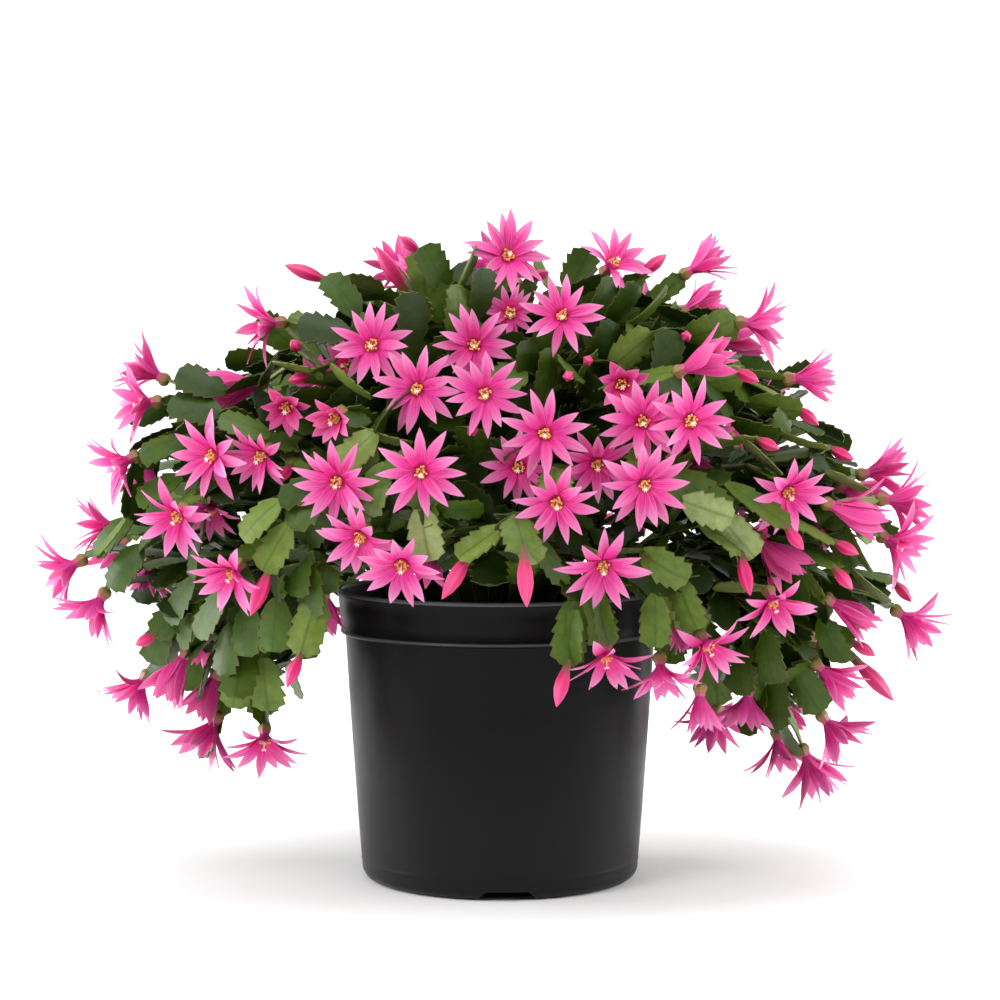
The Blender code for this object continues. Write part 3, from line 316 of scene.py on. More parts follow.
# Bark chips and perlite take their colour from a number that each grain carries.
grains = bare_finish("bark chips and perlite", "#3a2618")
number = add_node(grains, "Attribute", {"attribute_name": "tone"})
chips = add_node(grains, "ValToRGB", {"stops": (
    (0.0, "#1d120b"), (0.5, "#3e291a"), (0.86, "#5d4330"), (0.93, "#d8d2c4"))},
    {"Fac": number.outputs["Fac"]})
close_with(grains, add_node(grains, "BsdfPrincipled", {"Roughness": 0.9},
                            {"Base Color": chips.outputs["Color"]}))

soil = place_mesh("potting_mix_fill", soil_points.reshape(-1, 3), soil_faces, [0] * len(soil_faces), [peat])
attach(soil, "root")
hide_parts("potting_mix")

far = np.sqrt(soil_chance.uniform(0.0, 1.0, CRUMBS)) * 86.0
turn = soil_chance.uniform(0.0, 2 * math.pi, CRUMBS)
crumb_at = np.stack([far * np.cos(turn), far * np.sin(turn), soil_level(far / CRUMB_RADIUS) + 0.3], 1)
crumb_way = soil_chance.normal(0.0, 1.0, (CRUMBS, 3)) * np.array([1.0, 1.0, 0.35])
crumb_way /= np.linalg.norm(crumb_way, axis=1, keepdims=True)
crumb_length = soil_chance.uniform(1.6, 6.0, CRUMBS)
crumb_fat = soil_chance.uniform(0.6, 1.7, CRUMBS)
heights = crumb_length[:, None] * np.array([-0.5, -0.25, 0.25, 0.5])
radii = crumb_fat[:, None] * np.array([0.45, 1.0, 0.9, 0.3])
crumb_rings = spun(crumb_at, crumb_way, heights, radii, 5, 0.15, 2)
crumb_tones = soil_chance.uniform(0, 1, CRUMBS)
crumbs = grown_piece("bark_and_perlite", [(crumb_rings, 0, crumb_tones, None, 0.0, 0.0)], [grains],
                     math.radians(20.0))
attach(crumbs, "root")


# The plant is laid out as the model's solids are. Stems stand in the soil, arch out, fork twice and end
# in blooms, buds or bare segments. All places here are in millimetres, x to the right and z up in the
# upright plane through the pot's axis, and they give the limbs that every later section grows on.
EYE = Vector((0.0, -1730.0, 330.0))
DOME_MIDDLE = 190.0
DOME_WIDE = 262.0
DOME_DEEP = 165.0
DOME_UP = 185.0
DOME_DOWN = 140.0
SEGMENT = 32.0
OLD_SEGMENT = 37.0
SEGMENT_WIDTH = 22.0
KEEL = 2.6
TUBE = 8.0
SEED = 6
MIRRORED_FACING = 0.55
MIRRORED_DEPTH = 40.0
MATCH = 0.02
YOUNG = ((0.0, 0.28), (0.34, 0.97), (0.58, 0.78), (0.80, 0.94))
OLD = ((0.0, 0.28), (0.5, 0.9))
WOODY = ((0.0, 0.26), (0.5, 0.36))
TWIST = 0.22
FACING = 0.8
INNER_DEPTH = 0.75
TRUNK_SHARE = 0.48
BRANCH_SHARES = (0.74, 0.64, 0.54, 0.44, 0.34)
TWIG_REACH = 27.0
TWIG_AHEAD = 6.0
FORK_STEP = 6.6
FORK_SPLAY = 0.55
CHILDREN = 3
BEHIND = 28.0
HANDLE = 0.36
RIM_HANDLE = 0.7
OUTWARD = 0.8
FORKWARD = 0.5
SHOOT_STEP = 3.5
SHOOT_SPLAY = 0.8
SHOOT_LIFT = 0.5
SHOOT_TURN = 22.0
PIT_DEPTH = 8.0
FOOT_LIFT = 0.75
LEAN = 210.0
BANDS = ((34.0, 14.0), (62.0, 34.0), (86.0, 48.0), (181.0, 57.0))
TIPS_A_SPRAY = 8
TWIG_SHIFTS = (0, 7, -7, 14, -14, 22, -22, 30)
TWIG_CHOICES = tuple((shift, bow) for shift in TWIG_SHIFTS for bow in (0, 9, -9, 18, -18))
BRANCH_CHOICES = (0, 9, -9, 18, -18, 27, -27)

# Blooms: place of the throat, the way they face, radius, how far they are open, and depth as a share
# of the dome's own
BLOOMS = (
    (-200, 294, (-0.85, 0.1, 0.45), 23, 1.0, 1.0),
    (-205, 278, (-0.9, 0.4, -0.05), 23, 1.0, 1.0),
    (-132, 324, (-0.9, 0.35, 0.0), 24, 1.0, 0.6),
    (-144, 288, (-0.95, 0.2, -0.15), 27, 0.45, 0.8),
    (-124, 276, (-0.1, 0.9, -0.3), 17, 0.45, 1.0),
    (-95, 270, (-0.4, 0.8, -0.35), 17, 0.45, 1.0),
    (-166, 247, (-0.5, 0.8, -0.1), 26, 1.0, 1.0),
    (-138, 248, (-0.45, 0.75, -0.45), 22, 1.0, 0.9),
    (-218, 244, (-0.8, 0.45, -0.35), 24, 1.0, 1.0),
    (-205, 241, (-0.35, 0.2, -0.9), 20, 0.45, 0.6),
    (-187, 213, (-0.4, 0.75, -0.5), 26, 1.0, 1.0),
    (-168, 217, (-0.2, 0.6, -0.75), 20, 1.0, 0.7),
    (-228, 206, (-0.95, 0.1, 0.05), 23, 1.0, -0.4),
    (-249, 183, (-0.85, 0.2, -0.45), 23, 1.0, 1.0),
    (-234, 162, (-0.55, 0.25, -0.8), 24, 1.0, 1.0),
    (-221, 195, (-0.5, -0.2, -0.8), 23, 1.0, -0.6),
    (-205, 180, (-0.2, 0.1, -0.95), 18, 1.0, 0.4),
    (-155, 180, (-0.45, 0.65, -0.6), 25, 1.0, 1.0),
    (-210, 114, (-0.6, 0.15, -0.75), 23, 1.0, 0.6),
    (-186, 127, (-0.4, 0.2, -0.9), 26, 0.45, 0.8),
    (-168, 115, (-0.4, 0.2, -0.9), 24, 0.45, 0.3),
    (-171, 140, (-0.1, 0.0, -1.0), 17, 0.45, -0.2),
    (-168, 89, (-0.45, 0.2, -0.85), 27, 1.0, 0.7),
    (-138, 82, (0.0, 0.6, -0.8), 25, 1.0, 1.0),
    (-102, 163, (0.1, -0.3, -0.9), 20, 0.45, 0.4),
    (-74, 311, (-0.1, 0.95, 0.1), 24, 1.0, 1.0),
    (-49, 346, (-0.8, -0.3, 0.4), 22, 0.45, -0.5),
    (4, 362, (0.2, 0.9, 0.35), 26, 1.0, 1.0),
    (-15, 311, (0.0, 0.95, 0.1), 23, 1.0, 0.9),
    (-48, 286, (-0.05, 1.0, 0.0), 25, 1.0, 1.0),
    (-9, 283, (0.05, 1.0, 0.0), 24, 1.0, 1.0),
    (36, 328, (0.0, 1.0, 0.1), 24, 1.0, 1.0),
    (6, 330, (0.0, 1.0, 0.0), 16, 1.0, 0.7),
    (-35, 324, (-0.5, -0.4, -0.5), 21, 0.45, -0.3),
    (64, 357, (0.45, 0.6, 0.55), 23, 1.0, 1.0),
    (112, 355, (0.8, 0.1, 0.5), 23, 0.6, 0.6),
    (110, 333, (0.85, -0.1, 0.4), 21, 0.45, -0.5),
    (84, 326, (0.6, -0.4, 0.5), 21, 1.0, -0.5),
    (145, 324, (0.95, 0.15, -0.05), 24, 1.0, 1.0),
    (129, 314, (1.0, 0.0, -0.05), 22, 0.45, 0.5),
    (109, 298, (0.8, 0.2, 0.4), 26, 0.45, 1.0),
    (173, 292, (0.95, 0.15, 0.05), 22, 0.7, 1.0),
    (148, 278, (0.9, -0.2, -0.05), 21, 0.45, -0.3),
    (71, 289, (0.0, 0.95, -0.1), 17, 0.45, 1.0),
    (83, 267, (0.0, 1.0, 0.0), 25, 1.0, 1.0),
    (110, 267, (0.25, 0.9, 0.0), 25, 1.0, 1.15),
    (26, 260, (0.0, 1.0, 0.0), 25, 1.0, 1.0),
    (11, 241, (-0.1, 0.95, -0.15), 22, 1.0, 0.85),
    (56, 243, (0.1, 0.9, -0.3), 23, 1.0, 0.9),
    (84, 231, (0.05, 0.9, -0.25), 26, 1.0, 1.05),
    (33, 221, (0.0, 0.85, -0.35), 24, 1.0, 1.0),
    (-46, 238, (0.0, 0.95, -0.15), 26, 1.0, 1.0),
    (-94, 233, (-0.2, 0.85, -0.3), 26, 1.0, 1.0),
    (-81, 201, (-0.25, 0.75, -0.5), 24, 1.0, 0.9),
    (-57, 185, (-0.1, 0.75, -0.5), 25, 1.0, 1.0),
    (-42, 185, (0.1, 0.4, -0.8), 16, 0.45, 0.7),
    (60, 184, (0.05, 0.8, -0.5), 26, 1.0, 1.0),
    (62, 131, (0.05, 0.5, -0.85), 23, 1.0, 1.0),
    (94, 123, (0.05, 0.35, -0.9), 22, 1.0, 1.0),
    (120, 137, (0.4, 0.55, -0.6), 25, 1.0, 1.0),
    (117, 105, (0.0, 0.1, -0.95), 20, 0.7, 0.8),
    (145, 105, (-0.1, 0.1, -0.95), 22, 1.0, 0.6),
    (159, 163, (0.25, 0.6, -0.65), 25, 1.0, 1.0),
    (167, 227, (0.3, 0.8, -0.45), 26, 1.0, 1.0),
    (216, 237, (0.9, 0.0, 0.15), 24, 1.0, 0.6),
    (228, 221, (0.9, 0.05, 0.0), 24, 1.0, 1.0),
    (228, 197, (0.75, 0.4, -0.4), 25, 1.0, 1.0),
    (196, 217, (0.9, 0.1, -0.35), 27, 0.45, 1.0),
    (202, 227, (0.85, 0.0, -0.4), 22, 0.45, 0.4),
    (186, 206, (0.75, 0.0, -0.5), 20, 0.45, 0.8),
    (154, 195, (0.65, 0.2, -0.7), 27, 0.45, 0.8),
    (236, 153, (0.75, 0.1, -0.6), 25, 1.0, 1.0),
    (196, 160, (0.8, 0.0, -0.5), 24, 0.45, 0.8),
    (203, 170, (0.9, -0.1, -0.2), 17, 0.45, -0.4),
    (189, 121, (0.7, 0.0, -0.65), 23, 0.6, 0.9),
    (192, 90, (0.65, 0.1, -0.7), 24, 1.0, 0.8),
    (163, 79, (0.1, 0.2, -0.95), 24, 1.0, 1.0),
    (180, 70, (0.45, 0.1, -0.9), 26, 0.7, 0.5),
    (166, 99, (0.7, -0.3, -0.5), 17, 0.45, -0.5),
    (185, 137, (0.6, -0.3, -0.6), 15, 0.45, -0.4),
    (106, 150, (0.1, 0.1, -0.95), 17, 0.45, 0.65),
    (105, 246, (0.3, 0.8, -0.3), 20, 0.45, 0.6),
    (28, 238, (0.3, 0.8, -0.3), 20, 0.45, 0.55),
    (-102, 285, (-0.5, 0.5, 0.3), 21, 0.45, 0.5),
    (-87, 297, (-0.4, 0.6, 0.3), 20, 0.45, 0.6),
)

# Buds: place of the base, the way they point, length and depth
BUDS = (
    (-102, 349, (-0.93, 0.1, 0.35), 26, 0.8),
    (-55, 343, (-0.55, 0.1, 0.83), 32, 0.9),
    (-48, 366, (-0.78, 0.1, 0.62), 15, 0.7),
    (19, 350, (0.9, 0.1, 0.35), 12, 0.6),
    (83, 353, (0.78, 0.1, 0.62), 19, 0.9),
    (107, 316, (0.3, 0.9, 0.1), 9, 1.0),
    (51, 302, (0.0, 1.0, 0.1), 8, 1.0),
    (40, 294, (-0.1, 0.9, -0.2), 9, 1.0),
    (138, 296, (0.9, 0.1, -0.42), 15, 1.0),
    (173, 274, (0.8, 0.1, -0.6), 17, 0.9),
    (151, 256, (0.9, 0.2, -0.4), 14, 1.0),
    (193, 251, (0.9, 0.1, -0.45), 16, 0.9),
    (196, 196, (0.9, 0.1, -0.45), 16, 1.0),
    (168, 204, (0.6, 0.2, -0.8), 16, 1.0),
    (141, 188, (0.2, 0.3, -0.95), 24, 1.0),
    (231, 172, (0.65, 0.0, -0.75), 16, 0.6),
    (207, 137, (0.85, 0.0, -0.5), 16, 0.9),
    (208, 127, (0.68, 0.1, -0.72), 34, 0.5),
    (39, 123, (-0.25, 0.2, -0.95), 24, 1.0),
    (14, 189, (0.05, 0.3, -0.95), 30, 1.0),
    (-19, 188, (-0.5, 0.3, -0.82), 29, 1.0),
    (-16, 262, (0.0, 1.0, 0.0), 14, 0.9),
    (-135, 179, (-0.36, 0.3, -0.88), 28, 1.0),
    (-117, 129, (-0.38, 0.2, -0.9), 20, 1.0),
    (-122, 240, (-0.6, 0.4, -0.7), 13, 0.8),
    (-203, 141, (-0.85, 0.1, -0.4), 13, 0.7),
    (-118, 309, (-0.3, 0.5, 0.6), 9, 0.9),
    (-113, 293, (-0.9, 0.2, -0.2), 12, 0.9),
    (196, 180, (0.65, 0.1, -0.75), 16, 1.0),
)

# Bare segments that end a stem: place of the far end, way and depth
BARE = (
    (-52, 340, (0.1, 0.4, 1.0), 0.9),
    (96, 320, (0.5, 0.5, 0.6), 0.9),
    (-43, 205, (0.0, 0.5, -0.9), 1.0),
    (-140, 134, (-0.5, 0.4, -0.8), 1.0),
    (188, 100, (0.5, 0.2, -0.8), 1.0),
    (158, 118, (0.1, 0.3, -1.0), 0.9),
    (131, 212, (0.6, 0.5, -0.5), 1.0),
    (105, 178, (0.3, 0.5, -0.8), 0.9),
)

# Bare side shoots that leave a limb's joint: place of the far end, way and depth
SHOOTS = (
    (-95, 349, (-0.64, 0.1, 0.77), 1.0),
    (-155, 106, (-0.17, 0.1, -0.95), 1.0),
    (-140, 326, (-0.9, -0.2, 0.34), -0.9),
    (-172, 277, (-0.98, -0.1, -0.17), -0.76),
    (-158, 127, (-0.2, -0.1, -0.98), -0.72),
    (-190, 137, (-0.5, -0.1, -0.86), -0.79),
    (-138, 96, (0.3, 0.0, -0.94), -0.8),
    (-190, 171, (-0.76, -0.1, -0.64), -1.0),
    (-90, 320, (-0.5, -0.1, 0.85), -0.95),
    (-162, 257, (-0.93, -0.16, -0.32), -0.95),
    (-118, 200, (-0.64, -0.1, -0.77), -1.0),
    (-16, 144, (0.1, -0.15, -0.99), -1.0),
    (34, 344, (-0.1, -0.1, 1.0), -1.0),
    (160, 290, (0.92, -0.18, 0.35), -0.95),
    (196, 234, (0.9, 0.0, -0.4), -0.85),
    (214, 196, (0.62, -0.17, -0.76), -0.9),
    (118, 112, (-0.1, -0.1, -0.99), -0.9),
    (157, 132, (0.2, -0.1, -0.98), -0.76),
    (122, 150, (0.1, -0.1, -0.99), -0.91),
)


def upright_axis(rise):
    """The dome's upright half-axis, which is longer above its middle than below."""
    return DOME_UP if rise > 0.0 else DOME_DOWN


def dome_reach(x, z):
    """How far the dome's front stands out at a place in the axis plane: the third half-axis of an
    ellipsoid, scaled by the root of what the other two leave."""
    rise = z - DOME_MIDDLE
    left = 1.0 - (x / DOME_WIDE) ** 2 - (rise / upright_axis(rise)) ** 2
    return DOME_DEEP * math.sqrt(max(left, 0.01))


def on_sight(x, z, toward):
    """The point that lies on the line from the eye to (x, 0, z) and stands out by toward."""
    share = 1.0 - toward / -EYE.y
    return EYE + (Vector((x, 0.0, z)) - EYE) * share


class Tip:
    """One end of a stem: what it carries, where, and which way it faces."""

    def __init__(self, kind, x, z, facing, depth, size=0.0, opening=1.0):
        right, toward, up = facing
        self.kind = kind
        self.place = on_sight(x, z, depth * dome_reach(x, z))
        self.axis = Vector((right, -toward, up)).normalized()
        self.size = size
        self.opening = opening
        self.back = depth < 0.0 and kind == "bare"
        self.inner = depth < INNER_DEPTH

    def turned(self, angle, lift):
        """The same tip on the far side, turned about the pot's axis and lifted."""
        spin = Matrix.Rotation(angle, 3, "Z")
        copy = Tip(self.kind, 0.0, 0.0, (0.0, 1.0, 0.0), 0.0, self.size, self.opening)
        copy.place = spin @ self.place + Vector((0.0, 0.0, lift))
        copy.axis = spin @ self.axis
        copy.back = True
        copy.inner = True
        return copy

    def sight(self):
        """The line along which the tip may shift without leaving its place in the front view."""
        if self.back:
            return Vector((self.place.x, self.place.y, 0.0)).normalized()
        return (self.place - EYE).normalized()


def all_tips():
    """Every stem end: those seen from the front, then the front's blooms again on the far side."""
    tips = [Tip("bloom", x, z, way, deep, size, opening) for x, z, way, size, opening, deep in BLOOMS]
    tips += [Tip("bud", x, z, way, deep, size) for x, z, way, size, deep in BUDS]
    tips += [Tip("bare", x, z, way, deep) for x, z, way, deep in BARE]
    chance = random.Random(SEED)
    for tip in list(tips):
        angle = math.pi + math.radians(chance.uniform(-9.0, 9.0))
        lift = chance.uniform(-8.0, 8.0)
        open_bloom = tip.kind == "bloom" and tip.opening == 1.0
        if open_bloom and -tip.axis.y > MIRRORED_FACING and -tip.place.y > MIRRORED_DEPTH:
            tips.append(tip.turned(angle, lift))
    return tips


def off_vertical(point):
    """The angle between the vertical and the line from the dome's middle, in the dome's own scale."""
    out = math.hypot(point.x / DOME_WIDE, point.y / DOME_DEEP)
    rise = point.z - DOME_MIDDLE
    return math.degrees(math.atan2(out, rise / upright_axis(rise)))


def sprays_of(tips):
    """Groups the tips into sprays: band by band from the crown, and round the pot within a band."""
    groups = []
    start = 0.0
    for limit, foot in BANDS:
        band = [tip for tip in tips if start <= off_vertical(tip.place) < limit]
        band.sort(key=lambda tip: math.atan2(tip.place.y / DOME_DEEP, tip.place.x / DOME_WIDE))
        runs = math.ceil(len(band) / TIPS_A_SPRAY)
        for run in range(runs):
            members = band[len(band) * run // runs:len(band) * (run + 1) // runs]
            groups.append((foot, members))
        start = limit
    return groups


def mean(vectors):
    """The mean of some vectors."""
    return sum(vectors, Vector((0.0, 0.0, 0.0))) / len(vectors)


def square_to(way, face):
    """The part of a face direction that is square to a way, made a unit."""
    return (face - way * face.dot(way)).normalized()


class Arc:
    """A cubic curve from one point and direction to another, bowed sideways by a given amount. The
    handle is the share of the straight reach for which it keeps to its first direction."""

    def __init__(self, start, way_out, end, way_in, bow=0.0, handle=HANDLE):
        reach = (end - start).length
        side = (end - start).cross(Vector((0.0, 0.0, 1.0)))
        side = side.normalized() * bow if side.length > 1e-6 else Vector((bow, 0.0, 0.0))
        first = start + way_out * reach * handle + side
        last = end - way_in * reach * HANDLE + side
        self.points = (start, first, last, end)

    def at(self, t):
        """The point at parameter t, by the cubic Bernstein weights."""
        a, b, c, d = self.points
        s = 1.0 - t
        return a * s ** 3 + b * (3 * s * s * t) + c * (3 * s * t * t) + d * t ** 3

    def way(self, t):
        """The unit direction at parameter t."""
        a, b, c, d = self.points
        s = 1.0 - t
        return ((b - a) * (s * s) + (c - b) * (2 * s * t) + (d - c) * (t * t)).normalized()

    def length(self):
        """The curve's length, from sixteen chords."""
        stops = [self.at(i / 16) for i in range(17)]
        return sum((q - p).length for p, q in zip(stops, stops[1:]))


class Limb:
    """A run of straight segments whose joints lie on part of an arc, so that it bends at its narrow
    joints. It ends in a tip, or forks into children of which its heir carries its own line on. Its
    flat face is carried along without turning about the stem, apart from a small twist a segment."""

    def __init__(self, arc, end, spacing, face, twist, tip=None):
        self.count = max(1, round(arc.length() * end / spacing))
        self.joints = [arc.at(end * k / self.count) for k in range(self.count + 1)]
        self.ways = [(q - p).normalized() for p, q in zip(self.joints, self.joints[1:])]
        plain = tip is None or tip.back or tip.inner or -tip.axis.y > FACING
        self.patterns = [OLD] * (self.count - 1) + [OLD if plain else YOUNG]
        self.faces = []
        self.tip = tip
        self.before = arc.way(0.0)
        before = self.before
        for k, way in enumerate(self.ways):
            face = before.rotation_difference(way) @ face
            face = Matrix.Rotation(twist * (1 - 2 * (k % 2)), 3, way) @ face
            face = square_to(way, face)
            self.faces.append(face)
            before = way

    def frame(self, k, far):
        """Point, width direction and face direction at a share far along segment k."""
        way = self.ways[k]
        face = self.faces[k]
        if far == 0.0:
            way = (self.ways[k - 1] + way if k else self.before + way).normalized()
            face = square_to(way, face)
        return self.joints[k].lerp(self.joints[k + 1], far), way.cross(face), face

    def rings(self):
        """The three corners of each of the model's sections: two edges and a keel."""
        rings = []
        for k, pattern in enumerate(self.patterns):
            for far, wide in pattern:
                point, width, face = self.frame(k, far)
                half = wide * SEGMENT_WIDTH / 2
                top = face * 0.5
                rings.append((point - width * half + top, point + width * half + top, point - face * KEEL))
        return rings

    def fork(self, goals):
        """Where and in which direction a child starts for each goal, in their order across the end."""
        end = self.joints[-1]
        width = self.frame(self.count - 1, 1.0)[1]
        order = sorted(range(len(goals)), key=lambda number: (goals[number] - end).dot(width))
        starts = []
        for place, number in enumerate(order):
            side = place - (len(goals) - 1) // 2
            way = (self.ways[-1] + width * side * FORK_SPLAY).normalized()
            starts.append((number, end + width * side * FORK_STEP, way))
        return starts

    def shoot(self, k, base):
        """Where a side shoot towards a base leaves the far joint of segment k, and in which direction."""
        point, width, face = self.frame(k, 1.0)
        side = math.copysign(1.0, (base - point).dot(width))
        way = (self.ways[k] + width * side * SHOOT_SPLAY + face * SHOOT_LIFT).normalized()
        return point + width * side * SHOOT_STEP, way


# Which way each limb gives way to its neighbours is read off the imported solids: of the choices open to
# it, a limb takes the one whose section corners lie on most corners of the model's own mesh.
spray_nodes = sorted(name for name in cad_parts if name.startswith("spray_"))
corner_owner = []
corner_points = []
for name in spray_nodes:
    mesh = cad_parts[name].data
    spots = np.empty(len(mesh.vertices) * 3)
    mesh.vertices.foreach_get("co", spots)
    corner_points += (spots.reshape(-1, 3) * 1000.0).tolist()
    corner_owner += [name] * len(mesh.vertices)
corner_tree = KDTree(len(corner_points))
for index, spot in enumerate(corner_points):
    corner_tree.insert(spot, index)
corner_tree.balance()


def shared_corners(limb):
    """The owners of the model's corners that a limb's own section corners lie on."""
    found = [corner_tree.find(corner) for ring in limb.rings() for corner in ring]
    return [corner_owner[index] for spot, index, away in found if away < MATCH]


def best_limb(build, choices):
    """The limb, of those that its choices give, that shares most corners with the model."""
    return max((build(choice) for choice in choices), key=lambda limb: len(shared_corners(limb)))


def branch_share(arc, tips):
    """The longest share of an arc that leaves each of its twigs room to bend: none starts too near
    its tip or has to turn back for it."""
    bases = [tip.place - tip.axis * TUBE for tip in tips]
    for share in BRANCH_SHARES:
        arms = [base - arc.at(share) for base in bases]
        if all(arm.length > TWIG_REACH and arm.dot(arc.way(share)) > TWIG_AHEAD for arm in arms):
            return share
    return BRANCH_SHARES[-1]


def joint_behind(entries, place, way):
    """The (node, limb, segment) whose far joint a side shoot best leaves from: one that is near the
    shoot's place, and in a line with it and behind it."""
    def cost(entry):
        gap = place - entry[1].joints[entry[2] + 1]
        return gap.length + SHOOT_TURN * (1.0 - gap.normalized().dot(way)) if gap.length > 1.0 else 0.0

    return min(entries, key=cost)


def grown_limbs():
    """Every trunk, branch, twig and side shoot as (node, limb), forked as the model's are."""
    limbs = []
    twigs = []
    chance = random.Random(SEED + 1)
    for foot_radius, members in sprays_of(all_tips()):
        middle = mean([tip.place for tip in members])
        heading = math.atan2(middle.y, middle.x)
        out = Vector((math.cos(heading), math.sin(heading), 0.0))
        foot = out * foot_radius
        soil_top = SOIL_CROWN + (SOIL_EDGE - SOIL_CROWN) * foot_radius / RIM_RADIUS
        foot.z = soil_top - PIT_DEPTH + FOOT_LIFT + 1.6 * KEEL * foot_radius / LEAN
        lean = (Vector((0.0, 0.0, 1.0)) + out * foot_radius / LEAN).normalized()
        handle = RIM_HANDLE if foot_radius == BANDS[-1][1] else HANDLE
        end_way = (mean([tip.axis for tip in members]) + out * OUTWARD).normalized()
        twist = chance.uniform(-TWIST, TWIST)

        def trunk(bow):
            limb = Limb(Arc(foot, lean, middle, end_way, bow, handle), TRUNK_SHARE, OLD_SEGMENT, -out, twist)
            limb.patterns[0] = WOODY
            return limb

        stem = best_limb(trunk, BRANCH_CHOICES)
        owners = shared_corners(stem)
        node = max(sorted(set(owners)), key=owners.count)
        limbs.append((node, stem))
        count = math.ceil(len(members) / CHILDREN)
        shares = [members[len(members) * k // count:len(members) * (k + 1) // count] for k in range(count)]
        goals = [mean([tip.place - tip.axis * BEHIND for tip in share]) for share in shares]
        for number, start, way in stem.fork(goals):
            goal_way = (mean([tip.axis for tip in shares[number]]) + way * FORKWARD).normalized()
            twist = chance.uniform(-TWIST, TWIST)

            def branch(bow):
                arc = Arc(start, way, goals[number], goal_way, bow)
                return Limb(arc, branch_share(arc, shares[number]), OLD_SEGMENT, stem.faces[-1], twist)

            limb = best_limb(branch, BRANCH_CHOICES)
            limbs.append((node, limb))
            twigs += [(node, shares[number][k], start, way, limb.faces[-1], SEGMENT)
                      for k, start, way in limb.fork([tip.place for tip in shares[number]])]

    def stem_ends():
        """The twigs, then the side shoots, which may leave one another's joints."""
        yield from twigs
        for x, z, facing, deep in SHOOTS:
            tip = Tip("bare", x, z, facing, deep)
            inner_joints = [(node, limb, k) for node, limb in limbs for k in range(limb.count - 1)]
            node, parent, k = joint_behind(inner_joints, tip.place, tip.axis)
            yield (node, tip, *parent.shoot(k, tip.place), parent.faces[k], OLD_SEGMENT)

    for index, (node, tip, start, way, face, spacing) in enumerate(stem_ends()):

        def stem_end(choice):
            shift, bow = choice
            place = tip.place + tip.sight() * shift
            base = place - tip.axis * (0.0 if tip.kind == "bare" else TUBE)
            twist = random.Random(SEED * 1000 + index).uniform(-TWIST, TWIST)
            limb = Limb(Arc(start, way, base, tip.axis, bow), 1.0, spacing, face, twist, tip)
            limb.place = place
            limb.spin = 0.37 * index + 0.2 * bow
            return limb

        limbs.append((node, best_limb(stem_end, TWIG_CHOICES)))
    return limbs


limbs = grown_limbs()


# Stem segments are flat, waxy links of green flesh, 20 to 23 mm wide, with a raised middle rib and a few
# shallow notches along each edge. They grow end to end, woody and narrow at the foot of the plant.
STATIONS = np.array([0.0, 0.08, 0.21, 0.34, 0.365, 0.54, 0.565, 0.74, 0.765, 0.90, 0.945, 1.0])
HALF_WIDTH = np.array([0.27, 0.50, 0.76, 0.96, 0.80, 1.02, 0.83, 1.03, 0.82, 0.94, 0.60, 0.42])
THICKNESS = np.array([0.8, 0.8, 0.85, 0.95, 0.95, 1.0, 1.0, 0.9, 0.9, 0.8, 0.8, 0.8])
CORNER_ACROSS = np.array([0.0, 0.5, 1.0, 1.0, 0.5, 0.0, -0.5, -1.0, -1.0, -0.5])
CORNER_RISE = np.array([1.7, 0.75, 0.35, -0.35, -0.6, -1.2, -0.6, -0.35, 0.35, 0.75])
OVERLAP = 1.2
WOODY_WIDTH = 8.5
WIDTHS = (19.5, 22.5)
SHOOT_WIDTHS = (17.0, 21.0)
FILL_WIDTHS = (18.0, 22.0)
BUD_COVER = 6.0
leaf_chance = random.Random(21)


def columns(entries, *keys):
    """The values of many alike entries as one array for each key."""
    return [np.array([entry[key] for entry in entries]) for key in keys]


def segment_rings(segments):
    """Flat links, many at once. The middle line runs straight from start to end, bowed towards its face
    by arch x 4t(1 - t); half the width follows HALF_WIDTH, each notch jagged by its own number; a link
    cups by the square of the distance from its rib and twists evenly about its middle line."""
    start, end, width, face, jag = columns(segments, "start", "end", "width", "face", "jag")
    size, arch, cup, twist = (each[:, None] for each in columns(segments, "size", "arch", "cup", "twist"))
    turn = (twist * (STATIONS - 0.5))[..., None]
    wide_way = width[:, None] * np.cos(turn) + face[:, None] * np.sin(turn)
    face_way = face[:, None] * np.cos(turn) - width[:, None] * np.sin(turn)
    middle = start[:, None] + (end - start)[:, None] * STATIONS[:, None]
    middle = middle + face[:, None] * (arch * 4 * STATIONS * (1 - STATIONS))[..., None]
    half = size / 2 * HALF_WIDTH
    left_right = np.where(CORNER_ACROSS[None, None] > 0, jag[:, :, :1], jag[:, :, 1:])
    across = half[..., None] * CORNER_ACROSS * left_right
    rise = CORNER_RISE * THICKNESS[:, None] + cup[..., None] * half[..., None] * CORNER_ACROSS ** 2
    return (middle[:, :, None] + wide_way[:, :, None] * across[..., None]
            + face_way[:, :, None] * rise[..., None])


def link_between(start, end, face, size, tone):
    """One stem segment with its own small irregularities."""
    way = (end - start).normalized()
    face = square_to(way, face)
    jag = [[1.0 + leaf_chance.uniform(-0.07, 0.06) for side in range(2)] for station in STATIONS]
    return {"start": start, "end": end + way * OVERLAP, "face": face, "width": way.cross(face), "size": size,
            "arch": leaf_chance.uniform(-0.6, 2.4), "cup": leaf_chance.uniform(-0.10, 0.22),
            "twist": leaf_chance.uniform(-0.25, 0.25), "jag": jag, "tone": tone}
